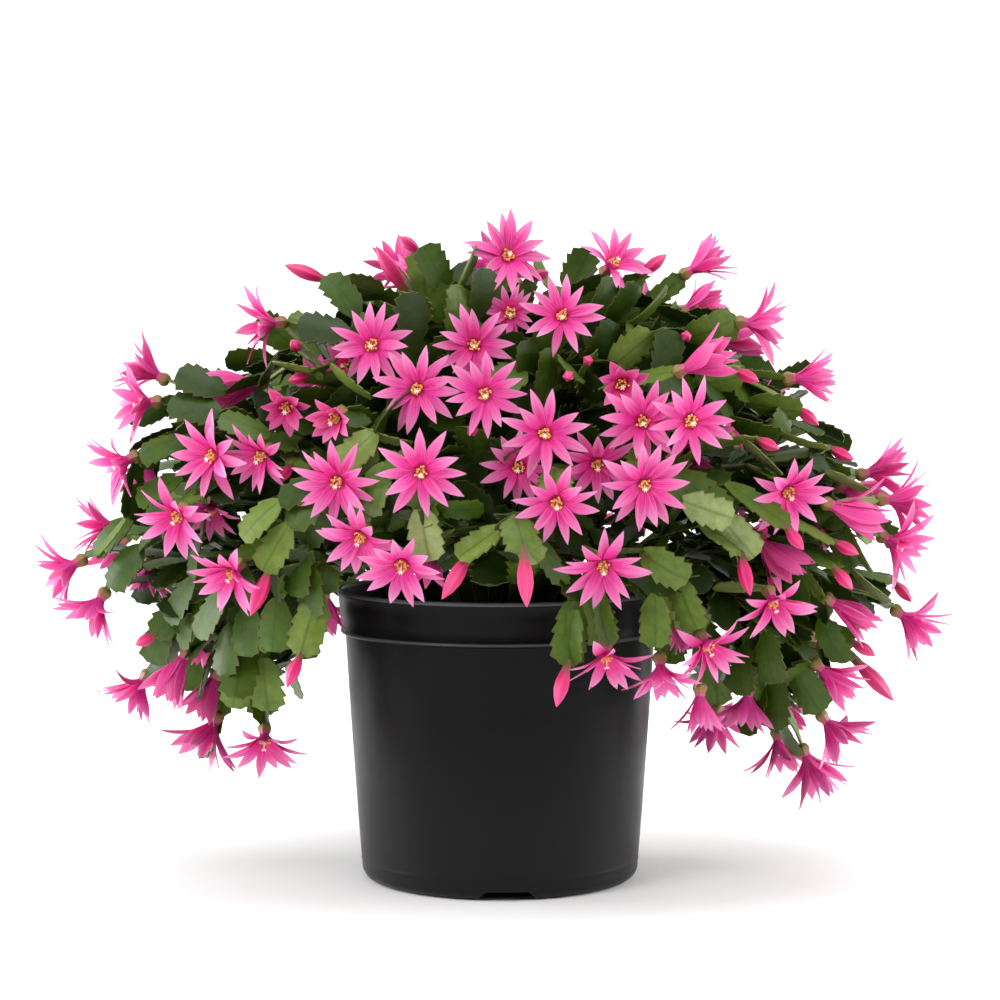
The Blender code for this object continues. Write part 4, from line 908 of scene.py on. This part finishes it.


# A segment's tone runs from 0, old and dark, to 1, young and pale. Segments deep inside the plant are
# given low tones as painted shade.
links = {name: [] for name in spray_nodes}
joints = []
for node, limb in limbs:
    for k in range(limb.count):
        last = limb.tip is not None and k == limb.count - 1
        woody = limb.patterns[k] is WOODY
        size = WOODY_WIDTH if woody else leaf_chance.uniform(*WIDTHS)
        tone = 0.02 if woody else leaf_chance.uniform(0.35, 0.72) if last else leaf_chance.uniform(0.12, 0.5)
        end = limb.joints[k + 1]
        if last and limb.tip.kind == "bud":
            end = end + limb.tip.axis * BUD_COVER
        links[node].append(link_between(limb.joints[k], end, limb.faces[k], size, tone))
        if not woody:
            joints.append((node, limb, k))

# Segments that show between the blooms, as places in the 1000-pixel picture: middle, direction of growth
# in degrees, how broad it faces the viewer, depth as a share of the dome, and how pale it is. The
# paleness is partly its age and partly painted light and shade: deep segments are painted dark.
SHOWN_SEGMENTS = (
    (202, 383, 160, 0.8, 1.0, 0.15), (195, 408, 170, 0.8, 1.0, 0.2), (165, 448, 200, 0.6, 0.9, 0.3),
    (160, 490, 210, 0.6, 0.9, 0.3), (110, 535, 230, 0.15, 0.9, 0.5), (125, 567, 235, 0.8, 0.9, 0.25),
    (160, 640, 250, 0.8, 0.7, 0.3), (180, 600, 240, 0.6, 0.8, 0.3), (190, 625, 250, 0.5, 0.8, 0.3),
    (210, 615, 240, 0.6, 0.9, 0.35), (225, 650, 260, 0.7, 0.9, 0.3), (247, 630, 265, 0.8, 0.9, 0.3),
    (236, 683, 260, 0.9, 0.9, 0.5), (265, 685, 275, 0.9, 0.9, 0.5), (303, 633, 285, 0.8, 0.7, 0.2),
    (274, 625, 265, 0.9, 0.95, 0.35), (276, 547, 240, 0.9, 1.0, 0.55), (262, 520, 225, 0.7, 1.0, 0.55),
    (300, 570, 260, 0.7, 0.9, 0.3), (310, 590, 270, 0.7, 0.9, 0.3), (325, 328, 170, 0.8, 0.9, 0.1),
    (342, 298, 130, 0.8, 0.9, 0.3), (411, 320, 95, 0.9, 0.95, 0.1), (435, 270, 115, 0.9, 0.9, 0.3),
    (465, 270, 65, 0.15, 0.9, 0.5), (453, 312, 85, 0.7, 0.9, 0.45), (480, 295, 80, 0.7, 0.9, 0.15),
    (597, 300, 60, 0.5, 0.8, 0.3), (620, 305, 50, 0.5, 0.9, 0.2), (647, 305, 45, 0.15, 1.0, 0.4),
    (600, 345, 60, 0.7, 0.8, 0.15), (630, 350, 40, 0.8, 0.9, 0.65), (665, 357, 80, 0.9, 0.9, 0.15),
    (706, 328, 20, 0.8, 1.0, 0.5), (718, 378, 10, 0.7, 0.95, 0.5), (775, 405, -10, 0.7, 0.9, 0.5),
    (755, 425, -20, 0.5, 0.9, 0.3), (762, 455, -43, 0.2, 0.95, 0.75), (802, 438, -19, 0.2, 0.9, 0.65),
    (825, 465, -25, 0.6, 0.8, 0.4), (848, 482, -26, 0.2, 0.95, 0.75), (860, 548, -60, 0.2, 0.95, 0.5),
    (872, 584, -40, 0.2, 0.95, 0.5), (738, 535, -50, 0.9, 1.0, 0.75), (707, 508, -20, 0.9, 1.06, 0.75),
    (665, 565, -30, 0.9, 1.0, 0.5), (657, 620, -90, 0.9, 1.0, 0.5), (690, 603, -70, 0.8, 1.0, 0.5),
    (574, 637, -95, 0.8, 1.0, 0.45), (607, 618, -80, 0.5, 0.95, 0.5), (553, 560, -60, 0.5, 0.9, 0.3),
    (482, 543, 215, 0.6, 1.0, 0.65), (521, 540, -50, 0.7, 1.0, 0.65), (425, 533, -80, 0.9, 1.0, 0.75),
    (455, 507, 0, 0.5, 0.95, 0.4), (357, 450, 225, 0.9, 1.0, 0.65), (385, 434, -17, 0.2, 0.95, 0.6),
    (378, 488, 250, 0.8, 1.0, 0.45), (297, 368, -15, 0.2, 0.95, 0.6), (350, 380, -40, 0.2, 0.95, 0.6),
    (245, 427, 160, 0.6, 0.95, 0.4), (545, 375, 80, 0.6, 0.8, 0.4), (525, 368, 90, 0.6, 0.8, 0.2),
    (773, 658, -80, 0.8, 0.9, 0.3), (779, 705, -90, 0.8, 0.9, 0.3), (757, 712, -110, 0.6, 0.8, 0.3),
    (747, 670, -90, 0.6, 0.8, 0.3), (810, 690, -60, 0.9, 0.95, 0.35), (836, 640, -60, 0.8, 0.9, 0.3),
    (792, 735, -63, 0.3, 0.9, 0.4), (564, 398, 75, 0.8, 0.5, 0.05), (791, 652, -80, 0.8, 0.6, 0.1),
    (641, 578, -40, 0.8, 0.5, 0.1), (843, 596, -50, 0.7, 0.6, 0.2), (164, 664, 250, 0.7, 0.6, 0.15),
    (113, 537, 225, 0.6, 0.6, 0.3),
)
PIXEL = 0.581
PICTURE_MIDDLE = 221.0
HALF_LINK = 14.0
HANG_GAP = 9.0
HANG_STEP = 30.0
HANG_TWIST = 0.3


def shown_links():
    """The start, end, face and tone of each segment that shows, and again on the far side of the plant,
    turned half round the pot's axis."""
    found = []
    for u, v, degrees, broad, depth, tone in SHOWN_SEGMENTS:
        x = (u - 500.0) * PIXEL
        z = PICTURE_MIDDLE + (500.0 - v) * PIXEL
        middle = on_sight(x, z, depth * dome_reach(x, z))
        sight = (EYE - middle).normalized()
        heading = math.radians(degrees)
        way = Vector((math.cos(heading), 0.0, math.sin(heading))) + sight * 0.15
        way = (way - sight * leaf_chance.uniform(0.0, 0.25)).normalized()
        face = (sight * broad + way.cross(sight) * math.sqrt(1.0 - broad ** 2)).normalized()
        for spin in (0.0, math.pi + math.radians(leaf_chance.uniform(-12.0, 12.0))):
            turn = Matrix.Rotation(spin, 3, "Z")
            reach = turn @ way * HALF_LINK
            at = turn @ middle
            found.append((at - reach, at + reach, turn @ face, tone))
    return found


def hang(start, end, way, face, size, tone, shoot_tones):
    """Adds one segment and the side shoot that carries it, from the limb's joint that is nearest to its
    base and most in line behind it. Where that joint is close by, it needs no shoot."""
    node, limb, k = joint_behind(joints, start, way)
    root = limb.joints[k + 1]
    links[node].append(link_between(start, end, face, size, tone))
    if (start - root).length > HANG_GAP:
        arc = Arc(root, (limb.ways[k] + way).normalized(), start, way)
        shoot = Limb(arc, 1.0, HANG_STEP, limb.faces[k], HANG_TWIST)
        for near, far, side in zip(shoot.joints, shoot.joints[1:], shoot.faces):
            links[node].append(link_between(near, far, side, leaf_chance.uniform(*SHOOT_WIDTHS),
                                            leaf_chance.uniform(*shoot_tones)))


for start, end, face, tone in shown_links():
    hang(start, end, (end - start).normalized(), face, leaf_chance.uniform(*WIDTHS), tone, (0.1, 0.4))

# Short side shoots of one or two segments fill the plant between its limbs. They leave the joints to
# either side, droop a little, and stay inside the dome and clear of the pot. Their low tones are
# painted shade.
DOME_FILL = 0.86
POT_CLEAR = 14.0
UNDERSIDE_SLOPE = 1.1
FORK_CHANCE = 0.72
FILL_LENGTHS = (25.0, 30.0)
DROOP = Vector((0.0, 0.0, -1.0))


def has_room(point):
    """True for a point inside the dome and above its underside, which falls away from the pot's rim."""
    rise = point.z - DOME_MIDDLE
    share = (point.x / DOME_WIDE) ** 2 + (point.y / DOME_DEEP) ** 2 + (rise / upright_axis(rise)) ** 2
    lowest = POT_HEIGHT + POT_CLEAR - UNDERSIDE_SLOPE * max(abs(point.x) - RIM_RADIUS, 0.0)
    return share < DOME_FILL and point.z > lowest


for node, limb, k in list(joints):
    last = limb.tip is not None and k == limb.count - 1
    for hand in (() if last else (-1.0, 1.0)):
        if leaf_chance.random() > FORK_CHANCE:
            continue
        face = limb.faces[k]
        width = limb.ways[k].cross(face)
        way = limb.ways[k] * 0.7 + width * hand * leaf_chance.uniform(0.5, 1.0)
        way = (way + face * leaf_chance.uniform(-0.7, 0.7) + DROOP * 0.25).normalized()
        start = limb.joints[k + 1]
        for step in range(leaf_chance.choice((1, 2, 2))):
            end = start + way * leaf_chance.uniform(*FILL_LENGTHS)
            if not has_room(end):
                break
            links[node].append(link_between(start, end, face, leaf_chance.uniform(*FILL_WIDTHS),
                                            leaf_chance.uniform(0.0, 0.36)))
            way = (way + face * leaf_chance.uniform(-0.3, 0.3) + DROOP * 0.2).normalized()
            start = end

# More segments grow evenly through the dome, so that no light comes through the plant. The first run
# follows the golden angle round the dome's inner shell, from its crown down, and the second the golden
# angle over its upright middle plane. Their low tones, and those of the shoots that carry them, are
# painted shade.
SHELL_GROWTH = 210
PLANE_GROWTH = 200
GOLDEN = math.pi * (3.0 - math.sqrt(5.0))
INNER_REACH = (0.62, 0.86)
SHELL_FALL = 1.75


def growth_places():
    """The outward direction of each inner segment and how far out it ends, as a share of the dome."""
    for number in range(SHELL_GROWTH):
        rise = 1.0 - SHELL_FALL * (number + 0.5) / SHELL_GROWTH
        level = math.sqrt(1.0 - rise ** 2)
        turn = number * GOLDEN
        out = Vector((math.cos(turn) * level, math.sin(turn) * level, rise))
        yield out, leaf_chance.uniform(*INNER_REACH)
    for number in range(PLANE_GROWTH):
        turn = number * GOLDEN
        out = Vector((math.cos(turn), leaf_chance.uniform(-0.4, 0.4), math.sin(turn)))
        yield out, INNER_REACH[1] * math.sqrt((number + 0.5) / PLANE_GROWTH)


for outward, reach in growth_places():
    end = Vector((DOME_WIDE * outward.x, DOME_DEEP * outward.y, outward.z * upright_axis(outward.z))) * reach
    end.z += DOME_MIDDLE
    if not has_room(end):
        continue
    down = Vector((0.0, 0.0, leaf_chance.uniform(-0.9, 0.1)))
    way = (Vector((outward.x, outward.y, max(outward.z, 0.0))) + down).normalized()
    across = way.cross(outward) * leaf_chance.uniform(-0.8, 0.8)
    face = (outward + Vector((0.0, 0.0, 0.6)) + across).normalized()
    hang(end - way * 2 * HALF_LINK, end, way, face, leaf_chance.uniform(*FILL_WIDTHS),
         leaf_chance.uniform(0.0, 0.3), (0.0, 0.25))

# Living cactus skin is a mid to dark green with a grey waxy bloom, so its highlights are wide and pale.
# A dark line marks the rib, and the rim is bronzed. Its pores are drawn at 1 mm, coarser than life.
skin = bare_finish("waxy green cactus skin", "#3f5f1c")
place = add_node(skin, "TexCoord").outputs["Object"]
tone, edge = (add_node(skin, "Attribute", {"attribute_name": label}).outputs["Fac"]
              for label in ("tone", "edge"))
blotch = add_node(skin, "TexNoise", {"Scale": 160.0, "Detail": 5.0, "Roughness": 0.65}, {"Vector": place})
# The segment's tone sets the green: its age, and for segments deep in the plant painted shade.
age_shade_and_blotch = add_node(skin, "Math", {"operation": "MULTIPLY_ADD", 1: 0.35},
                      {0: blotch.outputs["Fac"], 2: tone})
greens = add_node(skin, "ValToRGB", {"stops": (
    (0.12, "#122103"), (0.36, "#294108"), (0.60, "#466016"), (0.82, "#6f8238"), (1.0, "#9ca872"))},
    {"Fac": age_shade_and_blotch.outputs[0]})
rib = add_node(skin, "MapRange", {"From Min": 0.0, "From Max": 0.14, "To Min": 0.45, "To Max": 0.0},
               {"Value": edge})
ribbed = add_node(skin, "Mix", {"data_type": "RGBA", 7: "#26380c"},
                  {0: rib.outputs["Result"], 6: greens.outputs["Color"]})
rim = add_node(skin, "MapRange", {"From Min": 0.86, "From Max": 1.0, "To Min": 0.0, "To Max": 0.45},
               {"Value": edge})
bronzed = add_node(skin, "Mix", {"data_type": "RGBA", 7: "#5a4a1e"},
                   {0: rim.outputs["Result"], 6: ribbed.outputs[2]})
pores = add_node(skin, "TexNoise", {"Scale": 900.0, "Detail": 2.0}, {"Vector": place})
wax = add_node(skin, "MapRange", {"From Min": 0.3, "From Max": 0.7, "To Min": 0.36, "To Max": 0.52},
               {"Value": blotch.outputs["Fac"]})
dimples = add_node(skin, "Bump", {"Strength": 0.35, "Distance": 0.0003}, {"Height": pores.outputs["Fac"]})
close_with(skin, add_node(
    skin, "BsdfPrincipled", {"IOR": 1.42, "Specular IOR Level": 0.35, "Subsurface Weight": 0.06,
                             "Subsurface Radius": (0.6, 1.0, 0.2), "Subsurface Scale": 0.002},
    {"Base Color": bronzed.outputs[2], "Roughness": wax.outputs["Result"],
     "Normal": dimples.outputs["Normal"]}))

for name in spray_nodes:
    growth = (segment_rings(links[name]), 0, *columns(links[name], "tone"), STATIONS,
              np.abs(CORNER_ACROSS), CORNER_RISE < 0)
    stems = grown_piece(name + "_segments", [growth], [skin])
    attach(stems, "root")
    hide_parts(name)


# Blooms are soft stars of 12 to 14 slim pointed petals in three whorls on a short ribbed tube, with a
# magenta throat, a ring of yellow anthers on pale threads and a cream star in their middle. A bloom that
# is half open has 10 broader ones. Buds are folded petals on the same kind of foot.
PETAL_ALONG = np.array([0.0, 0.10, 0.24, 0.40, 0.56, 0.72, 0.87, 1.0])
PETAL_HALF = np.array([0.42, 0.52, 0.74, 0.94, 1.0, 0.83, 0.47, 0.04])
PETAL_ACROSS = np.array([1.0, 0.5, 0.0, -0.5, -1.0, 0.0])
PETAL_RISE = np.array([0.0, 0.26, 0.05, 0.26, 0.0, -0.34])
THROAT_RADIUS = 1.8
STEEP = 1.25
STRAY_CHANCE = 0.14
STRAY_DROP = 0.6
FUNNEL_LENGTH = 0.16
FUNNEL_WIDTH = 0.05

# Whorls: flat angle, how much more a funnel lifts it, how far it bends back, and share of the length
WHORLS = ((0.02, 0.70, 0.30, 1.0), (0.18, 0.74, 0.16, 0.98), (0.38, 0.70, 0.06, 0.92))
flower_chance = random.Random(5)


def petal_rings(petals):
    """Lance-shaped blades, many at once. Each leaves the throat at a steep angle to the bloom's face that
    falls to its own flat angle by the power 3.2 of what is left, then bends back by the square of the
    way along; the middle line is the running sum of cosine and sine. The blade rolls about that line by
    the root of the way along, and its rims curl up by the square of the distance across."""
    base, axis, out = columns(petals, "base", "axis", "out")
    length, wide, flat, recurve, curl, sway, roll = (each[:, None] for each in columns(
        petals, "length", "wide", "flat", "recurve", "curl", "sway", "roll"))
    rise = flat + (STEEP - flat) * (1 - PETAL_ALONG) ** 3.2 - recurve * PETAL_ALONG ** 2
    middle_rise = (rise[:, 1:] + rise[:, :-1]) / 2
    step = np.diff(PETAL_ALONG) * length
    zero = np.zeros((len(petals), 1))
    far = THROAT_RADIUS + np.concatenate([zero, np.cumsum(np.cos(middle_rise) * step, axis=1)], 1)
    high = -2.0 + np.concatenate([zero, np.cumsum(np.sin(middle_rise) * step, axis=1)], 1)
    side = np.cross(axis, out)
    middle = (base[:, None] + out[:, None] * far[..., None] + axis[:, None] * high[..., None]
              + side[:, None] * (sway * PETAL_ALONG ** 2)[..., None])
    up = -out[:, None] * np.sin(rise)[..., None] + axis[:, None] * np.cos(rise)[..., None]
    turn = (roll * np.sqrt(PETAL_ALONG))[..., None]
    side_way = side[:, None] * np.cos(turn) + up * np.sin(turn)
    up_way = up * np.cos(turn) - side[:, None] * np.sin(turn)
    half = wide / 2 * PETAL_HALF
    across = half[..., None] * PETAL_ACROSS
    lift = PETAL_RISE + curl[..., None] * half[..., None] * PETAL_ACROSS ** 2
    return (middle[:, :, None] + side_way[:, :, None] * across[..., None]
            + up_way[:, :, None] * lift[..., None])


def petals_of(place, axis, size, opening, spin):
    """The blades of one bloom in three whorls. Seen from the front they spread nearly flat; a bloom
    that faces sideways is more of a funnel, its inner blades upright and its outer ones bent back."""
    count = flower_chance.choice((12, 13, 13, 14)) if opening > 0.5 else 10
    side, up = across_frame(np.array([axis]))
    funnel = 1.0 - abs(axis[1])
    blades = []
    for k in range(count):
        angle = spin + (k + flower_chance.uniform(-0.2, 0.2)) * 2 * math.pi / count
        flat, lift, bend, share = WHORLS[k % len(WHORLS)]
        stray = 1.0 if flower_chance.random() < STRAY_CHANCE * funnel else 0.0
        blades.append({
            "base": place, "axis": axis, "out": side[0] * math.cos(angle) + up[0] * math.sin(angle),
            "length": size * flower_chance.uniform(0.97, 1.07) * share * (1.0 + FUNNEL_LENGTH * funnel),
            "wide": size * (flower_chance.uniform(0.22, 0.27) + FUNNEL_WIDTH * funnel if opening > 0.5
                            else 0.40),
            "flat": (1.0 - opening + flat + funnel * lift - STRAY_DROP * stray
                     + flower_chance.uniform(-0.13, 0.13)),
            "recurve": bend * (1.0 - 0.3 * funnel) * opening * flower_chance.uniform(0.5, 1.3),
            "curl": flower_chance.uniform(0.10, 0.30), "sway": flower_chance.uniform(-2.6, 2.6),
            "roll": flower_chance.uniform(-1.0, 1.0) * (0.35 + 0.65 * funnel),
            "tone": flower_chance.uniform(0.0, 0.4) + (0.55 if opening < 0.5 else 0.0)})
    return blades


def threads_of(place, axis, count):
    """The roots, directions and lengths of the stamens of one bloom, spread round its throat."""
    side, up = across_frame(np.array([axis]))
    turn = np.arange(count) * 2.399 + flower_chance.uniform(0, 6.28)
    lean = np.array([flower_chance.uniform(0.08, 0.50) for k in range(count)])
    out = side * np.cos(turn)[:, None] + up * np.sin(turn)[:, None]
    way = out * np.sin(lean)[:, None] + axis * np.cos(lean)[:, None]
    length = np.array([flower_chance.uniform(4.2, 6.0) for k in range(count)])
    return place + out * 0.9 - axis * 1.5, way, length


# The tube's sections in millimetres from the throat down, and a bud's as shares of its length and breadth
TUBE_HEIGHTS = np.array([-8.6, -7.6, -5.6, -3.8, -2.6, -1.4, -0.4])
TUBE_RADII = np.array([1.9, 3.2, 4.0, 3.6, 2.9, 2.9, 2.3])
BUD_HEIGHTS = np.array([-0.10, 0.04, 0.15, 0.26, 0.42, 0.60, 0.78, 0.91, 1.0])
BUD_RADII = np.array([0.40, 0.60, 0.58, 0.78, 0.98, 1.0, 0.72, 0.36, 0.04])
STAMENS = 18
STYLE_SAG = 0.14
LOBES = 6
LOBE_ROOT = 7.6
RIBS = 10
PETAL_BACK = np.array([0.5, 0.0, 0.0, 0.0, 0.5, 1.0])

# Petal flesh is thin and moist: bright pink that pales to its tip, deepest in the throat and along the
# middle crease, with fine veins along it and a satin surface that lets a little light through.
pink = bare_finish("pink cactus petals", "#e8559f")
tone, edge, along, back = (add_node(pink, "Attribute", {"attribute_name": label}).outputs["Fac"]
                           for label in ("tone", "edge", "along", "back"))
fade = add_node(pink, "ValToRGB", {"stops": (
    (0.0, "#cc0078"), (0.30, "#e60088"), (0.42, "#e2188e"), (0.58, "#e3559f"), (0.92, "#ea97c3"))},
    {"Fac": along})
deeper = add_node(pink, "Math", {"operation": "MULTIPLY", 1: 0.75}, {0: tone})
bright = add_node(pink, "Mix", {"data_type": "RGBA", 7: "#dd1f80"},
                  {0: deeper.outputs[0], 6: fade.outputs["Color"]})
crease = add_node(pink, "MapRange", {"From Min": 0.0, "From Max": 0.4, "To Min": 0.28, "To Max": 0.0},
                  {"Value": edge})
creased = add_node(pink, "Mix", {"data_type": "RGBA", 7: "#cc2380"},
                   {0: crease.outputs["Result"], 6: bright.outputs[2]})
vein_place = add_node(pink, "CombineXYZ", {}, {"X": edge, "Y": tone, "Z": along})
vein_scale = add_node(pink, "VectorMath", {"operation": "MULTIPLY", 1: (9.0, 40.0, 1.2)},
                      {0: vein_place.outputs[0]})
veins = add_node(pink, "TexNoise", {"Scale": 1.0, "Detail": 3.0}, {"Vector": vein_scale.outputs[0]})
vein_share = add_node(pink, "MapRange", {"From Min": 0.45, "From Max": 0.7, "To Min": 0.0, "To Max": 0.30},
                      {"Value": veins.outputs["Fac"]})
veined = add_node(pink, "Mix", {"data_type": "RGBA", 7: "#f5a4c8"},
                  {0: vein_share.outputs["Result"], 6: creased.outputs[2]})
back_share = add_node(pink, "Math", {"operation": "MULTIPLY", 1: 0.3}, {0: back})
backed = add_node(pink, "Mix", {"data_type": "RGBA", 7: "#dc3a90"},
                  {0: back_share.outputs[0], 6: veined.outputs[2]})
ripple = add_node(pink, "Bump", {"Strength": 0.25, "Distance": 0.0004}, {"Height": veins.outputs["Fac"]})
close_with(pink, add_node(
    pink, "BsdfPrincipled", {"Roughness": 0.52, "Specular IOR Level": 0.35, "Subsurface Weight": 0.25,
                             "Subsurface Radius": (1.0, 0.25, 0.45), "Subsurface Scale": 0.003},
    {"Base Color": backed.outputs[2], "Normal": ripple.outputs["Normal"]}))

# The tube under a bloom is olive brown, and turns pink towards the petals.
husk = bare_finish("olive brown flower tube", "#6d5a33")
along = add_node(husk, "Attribute", {"attribute_name": "along"}).outputs["Fac"]
husks = add_node(husk, "ValToRGB", {"stops": (
    (0.0, "#66672f"), (0.35, "#8a6f3c"), (0.62, "#96604a"), (0.85, "#cf3a80"))}, {"Fac": along})
close_with(husk, add_node(husk, "BsdfPrincipled", {"Roughness": 0.5},
                          {"Base Color": husks.outputs["Color"]}))

# A closed bud is deep rose, darker in the furrows between its folded petals, on an olive brown foot.
rose = bare_finish("folded rose bud", "#cf2f74")
along, back = (add_node(rose, "Attribute", {"attribute_name": label}).outputs["Fac"]
               for label in ("along", "back"))
roses = add_node(rose, "ValToRGB", {"stops": (
    (0.12, "#544e1e"), (0.24, "#754a22"), (0.34, "#b8244f"), (0.50, "#e2216f"), (1.0, "#ec5590"))},
    {"Fac": along})
furrow = add_node(rose, "Math", {"operation": "MULTIPLY", 1: 0.5}, {0: back})
furrowed = add_node(rose, "Mix", {"data_type": "RGBA", 7: "#8f1450"},
                    {0: furrow.outputs[0], 6: roses.outputs["Color"]})
close_with(rose, add_node(rose, "BsdfPrincipled", {"Roughness": 0.42, "Specular IOR Level": 0.4},
                          {"Base Color": furrowed.outputs[2]}))

# Stamen threads are pale pink, the pollen that covers the anthers is a dusty orange yellow, and the
# stigma is cream and matt.
thread = bare_finish("pale stamen thread", "#f0c8d4")
close_with(thread, add_node(thread, "BsdfPrincipled", {"Base Color": "#efb9cf", "Roughness": 0.5}))
pollen = bare_finish("yellow pollen", "#f2b32b")
tone = add_node(pollen, "Attribute", {"attribute_name": "tone"}).outputs["Fac"]
yellows = add_node(pollen, "ValToRGB", {"stops": ((0.0, "#fbd873"), (1.0, "#f09a35"))}, {"Fac": tone})
close_with(pollen, add_node(pollen, "BsdfPrincipled", {"Roughness": 0.8},
                            {"Base Color": yellows.outputs["Color"]}))
cream = bare_finish("cream stigma", "#f6e2a6")
close_with(cream, add_node(cream, "BsdfPrincipled", {"Base Color": "#fbf1d2", "Roughness": 0.6}))
flower_finishes = [pink, husk, rose, thread, pollen, cream]


def middle_of(place, axis):
    """What stands in the throat of one bloom: stamen threads with their anthers, the style, which sags a
    little from the axis, and the lobes of its stigma in a star round its end."""
    base, lean, length = threads_of(place, axis, STAMENS)
    style = axis + np.array([0.0, 0.0, -STYLE_SAG])
    style /= np.linalg.norm(style)
    side, up = across_frame(axis[None])
    turn = np.arange(LOBES) * 2 * math.pi / LOBES
    out = side * np.cos(turn)[:, None] + up * np.sin(turn)[:, None]
    root = np.repeat(place[None] + style * LOBE_ROOT, LOBES, 0)
    threads = spun(base, lean, length[:, None] * np.array([0.0, 1.0]), [0.2, 0.2], 3)
    anthers = spun(base + lean * length[:, None], lean, [-0.7, -0.25, 0.35, 0.8], [0.3, 0.7, 0.65, 0.25], 5)
    rod = spun(place[None], style[None], [-1.5, 7.8], [0.4, 0.35], 4)
    lobes = spun(root, out * 0.86 + axis * 0.5, [0.0, 0.9, 1.8], [0.25, 0.36, 0.12], 4)
    return [(threads, 3, 0.0, None, 0.0, 0.0), (anthers, 4, np.linspace(0, 1, STAMENS), None, 0.0, 0.0),
            (rod, 5, 0.0, None, 0.0, 0.0), (lobes, 5, 0.0, None, 0.0, 0.0)]


for name in spray_nodes:
    blades, tubes, buds = [], [], []
    for node, limb in limbs:
        if node != name or limb.tip is None or limb.tip.kind == "bare":
            continue
        tip = limb.tip
        at, way = np.array(limb.place), np.array(tip.axis)
        if tip.kind == "bud":
            buds.append((at, way, tip.size, 0.055 * tip.size + 2.4, limb.spin))
            continue
        tubes.append((at, way, limb.spin))
        blades += petals_of(at, way, tip.size, tip.opening, limb.spin)
    growths = []
    if blades:
        growths.append((petal_rings(blades), 0, *columns(blades, "tone"), PETAL_ALONG,
                        np.abs(PETAL_ACROSS), PETAL_BACK))
        at, way, spin = (np.array(column) for column in zip(*tubes))
        rings = spun(at, way, TUBE_HEIGHTS, TUBE_RADII, RIBS, 0.09, 5, spin)
        growths.append((rings, 1, 0.0, None, 0.0, 0.0))
    if buds:
        at, way, size, fat, spin = (np.array(column) for column in zip(*buds))
        rings = spun(at, way, BUD_HEIGHTS * size[:, None] + BUD_COVER - TUBE, BUD_RADII * fat[:, None],
                     RIBS, 0.10, 5, spin)
        growths.append((rings, 2, 0.0, None, 0.0, np.arange(RIBS) % 2))
    for at, way, spin in tubes:
        growths += middle_of(at, way)
    flowers = grown_piece(name + "_blooms", growths, flower_finishes)
    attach(flowers, "root")


# The studio is a seamless pale sheet, flat under the pot and bent up a quarter turn behind it. A large
# soft box stands high on the left and a weaker one on the right, with soft lights overhead and in front,
# a strip at each side for the pot's edges and one on the sheet, in a white room.
SWEEP_STEPS = 40
SWEEP_FLAT = 3.0
SWEEP_BEND = 2.0
run, sheet_x = np.meshgrid(np.linspace(-4.0, 8.0, SWEEP_STEPS), np.array([-6.0, 6.0]), indexing="ij")
turned = np.clip((run - SWEEP_FLAT) / SWEEP_BEND, 0.0, math.pi / 2)
climb = np.clip(run - SWEEP_FLAT - SWEEP_BEND * math.pi / 2, 0.0, None)
sweep = np.stack([sheet_x, np.minimum(run, SWEEP_FLAT) + SWEEP_BEND * np.sin(turned),
                  SWEEP_BEND * (1 - np.cos(turned)) + climb], -1).reshape(-1, 3)
sweep_faces = [[2 * k, 2 * k + 1, 2 * k + 3, 2 * k + 2] for k in range(SWEEP_STEPS - 1)]
paper = bare_finish("white studio paper", "#f4f4f4")
close_with(paper, add_node(paper, "BsdfPrincipled", {"Base Color": "#f6f6f6", "Roughness": 0.9,
                                                     "Specular IOR Level": 0.1}))
backdrop = place_mesh("studio_sweep", sweep * 1000.0, sweep_faces, [0] * len(sweep_faces), [paper])

# The room is white overhead, at the sides and behind, and dark behind the camera, by the direction's
# own y.
world = bpy.data.worlds.new("white room with a dark end")
bpy.context.scene.world = world
world.use_nodes = True
sky = world.node_tree.nodes["Background"]
heading = add_node(world, "TexCoord").outputs["Generated"]
parts = add_node(world, "SeparateXYZ", {}, {0: heading})
facing = add_node(world, "MapRange", {"interpolation_type": "SMOOTHSTEP", "From Min": -0.95,
                                      "From Max": -0.1, "To Min": 0.06, "To Max": 1.0},
                  {"Value": parts.outputs["Y"]})
world.node_tree.links.new(facing.outputs["Result"], sky.inputs["Color"])
sky.inputs["Strength"].default_value = 0.8
for label, at, aim, wide, watts in (("left soft box", (-1.6, -1.9, 1.9), (0.0, 0.0, 0.2), 1.3, 36.0),
                                    ("right soft box", (2.0, -1.3, 1.3), (0.0, 0.0, 0.2), 1.1, 14.0),
                                    ("overhead light", (0.1, -0.2, 2.4), (0.0, 0.0, 0.2), 1.6, 24.0),
                                    ("front light", (0.2, -2.3, 2.3), (0.0, 0.0, 0.2), 0.8, 12.0),
                                    ("left side strip", (-1.5, 0.2, 0.35), (0.0, 0.0, 0.1), 0.9, 24.0),
                                    ("right side strip", (1.5, 0.2, 0.35), (0.0, 0.0, 0.1), 0.9, 20.0),
                                    ("backdrop light", (0.0, 1.2, 2.6), (0.0, 5.0, 1.2), 2.0, 160.0)):
    lamp = bpy.data.lights.new(label, "AREA")
    lamp.shape = "SQUARE"
    lamp.size = wide
    lamp.energy = watts
    holder = bpy.data.objects.new(label, lamp)
    holder.location = at
    holder.rotation_euler = (Vector(aim) - Vector(at)).to_track_quat("-Z", "Y").to_euler()
    bpy.context.scene.collection.objects.link(holder)

# The camera stands 1.73 m away, a little above the pot's rim, as the picture's proportions give.
lens = bpy.data.cameras.new("picture camera")
lens.lens = 107.0
lens.sensor_width = 36.0
camera = bpy.data.objects.new("picture camera", lens)
camera.location = EYE / 1000.0
aim = Vector((0.0, 0.0, PICTURE_MIDDLE / 1000.0)) - camera.location
camera.rotation_euler = aim.to_track_quat("-Z", "Y").to_euler()
bpy.context.scene.collection.objects.link(camera)
bpy.context.scene.camera = camera
bpy.context.scene.view_settings.view_transform = "Standard"
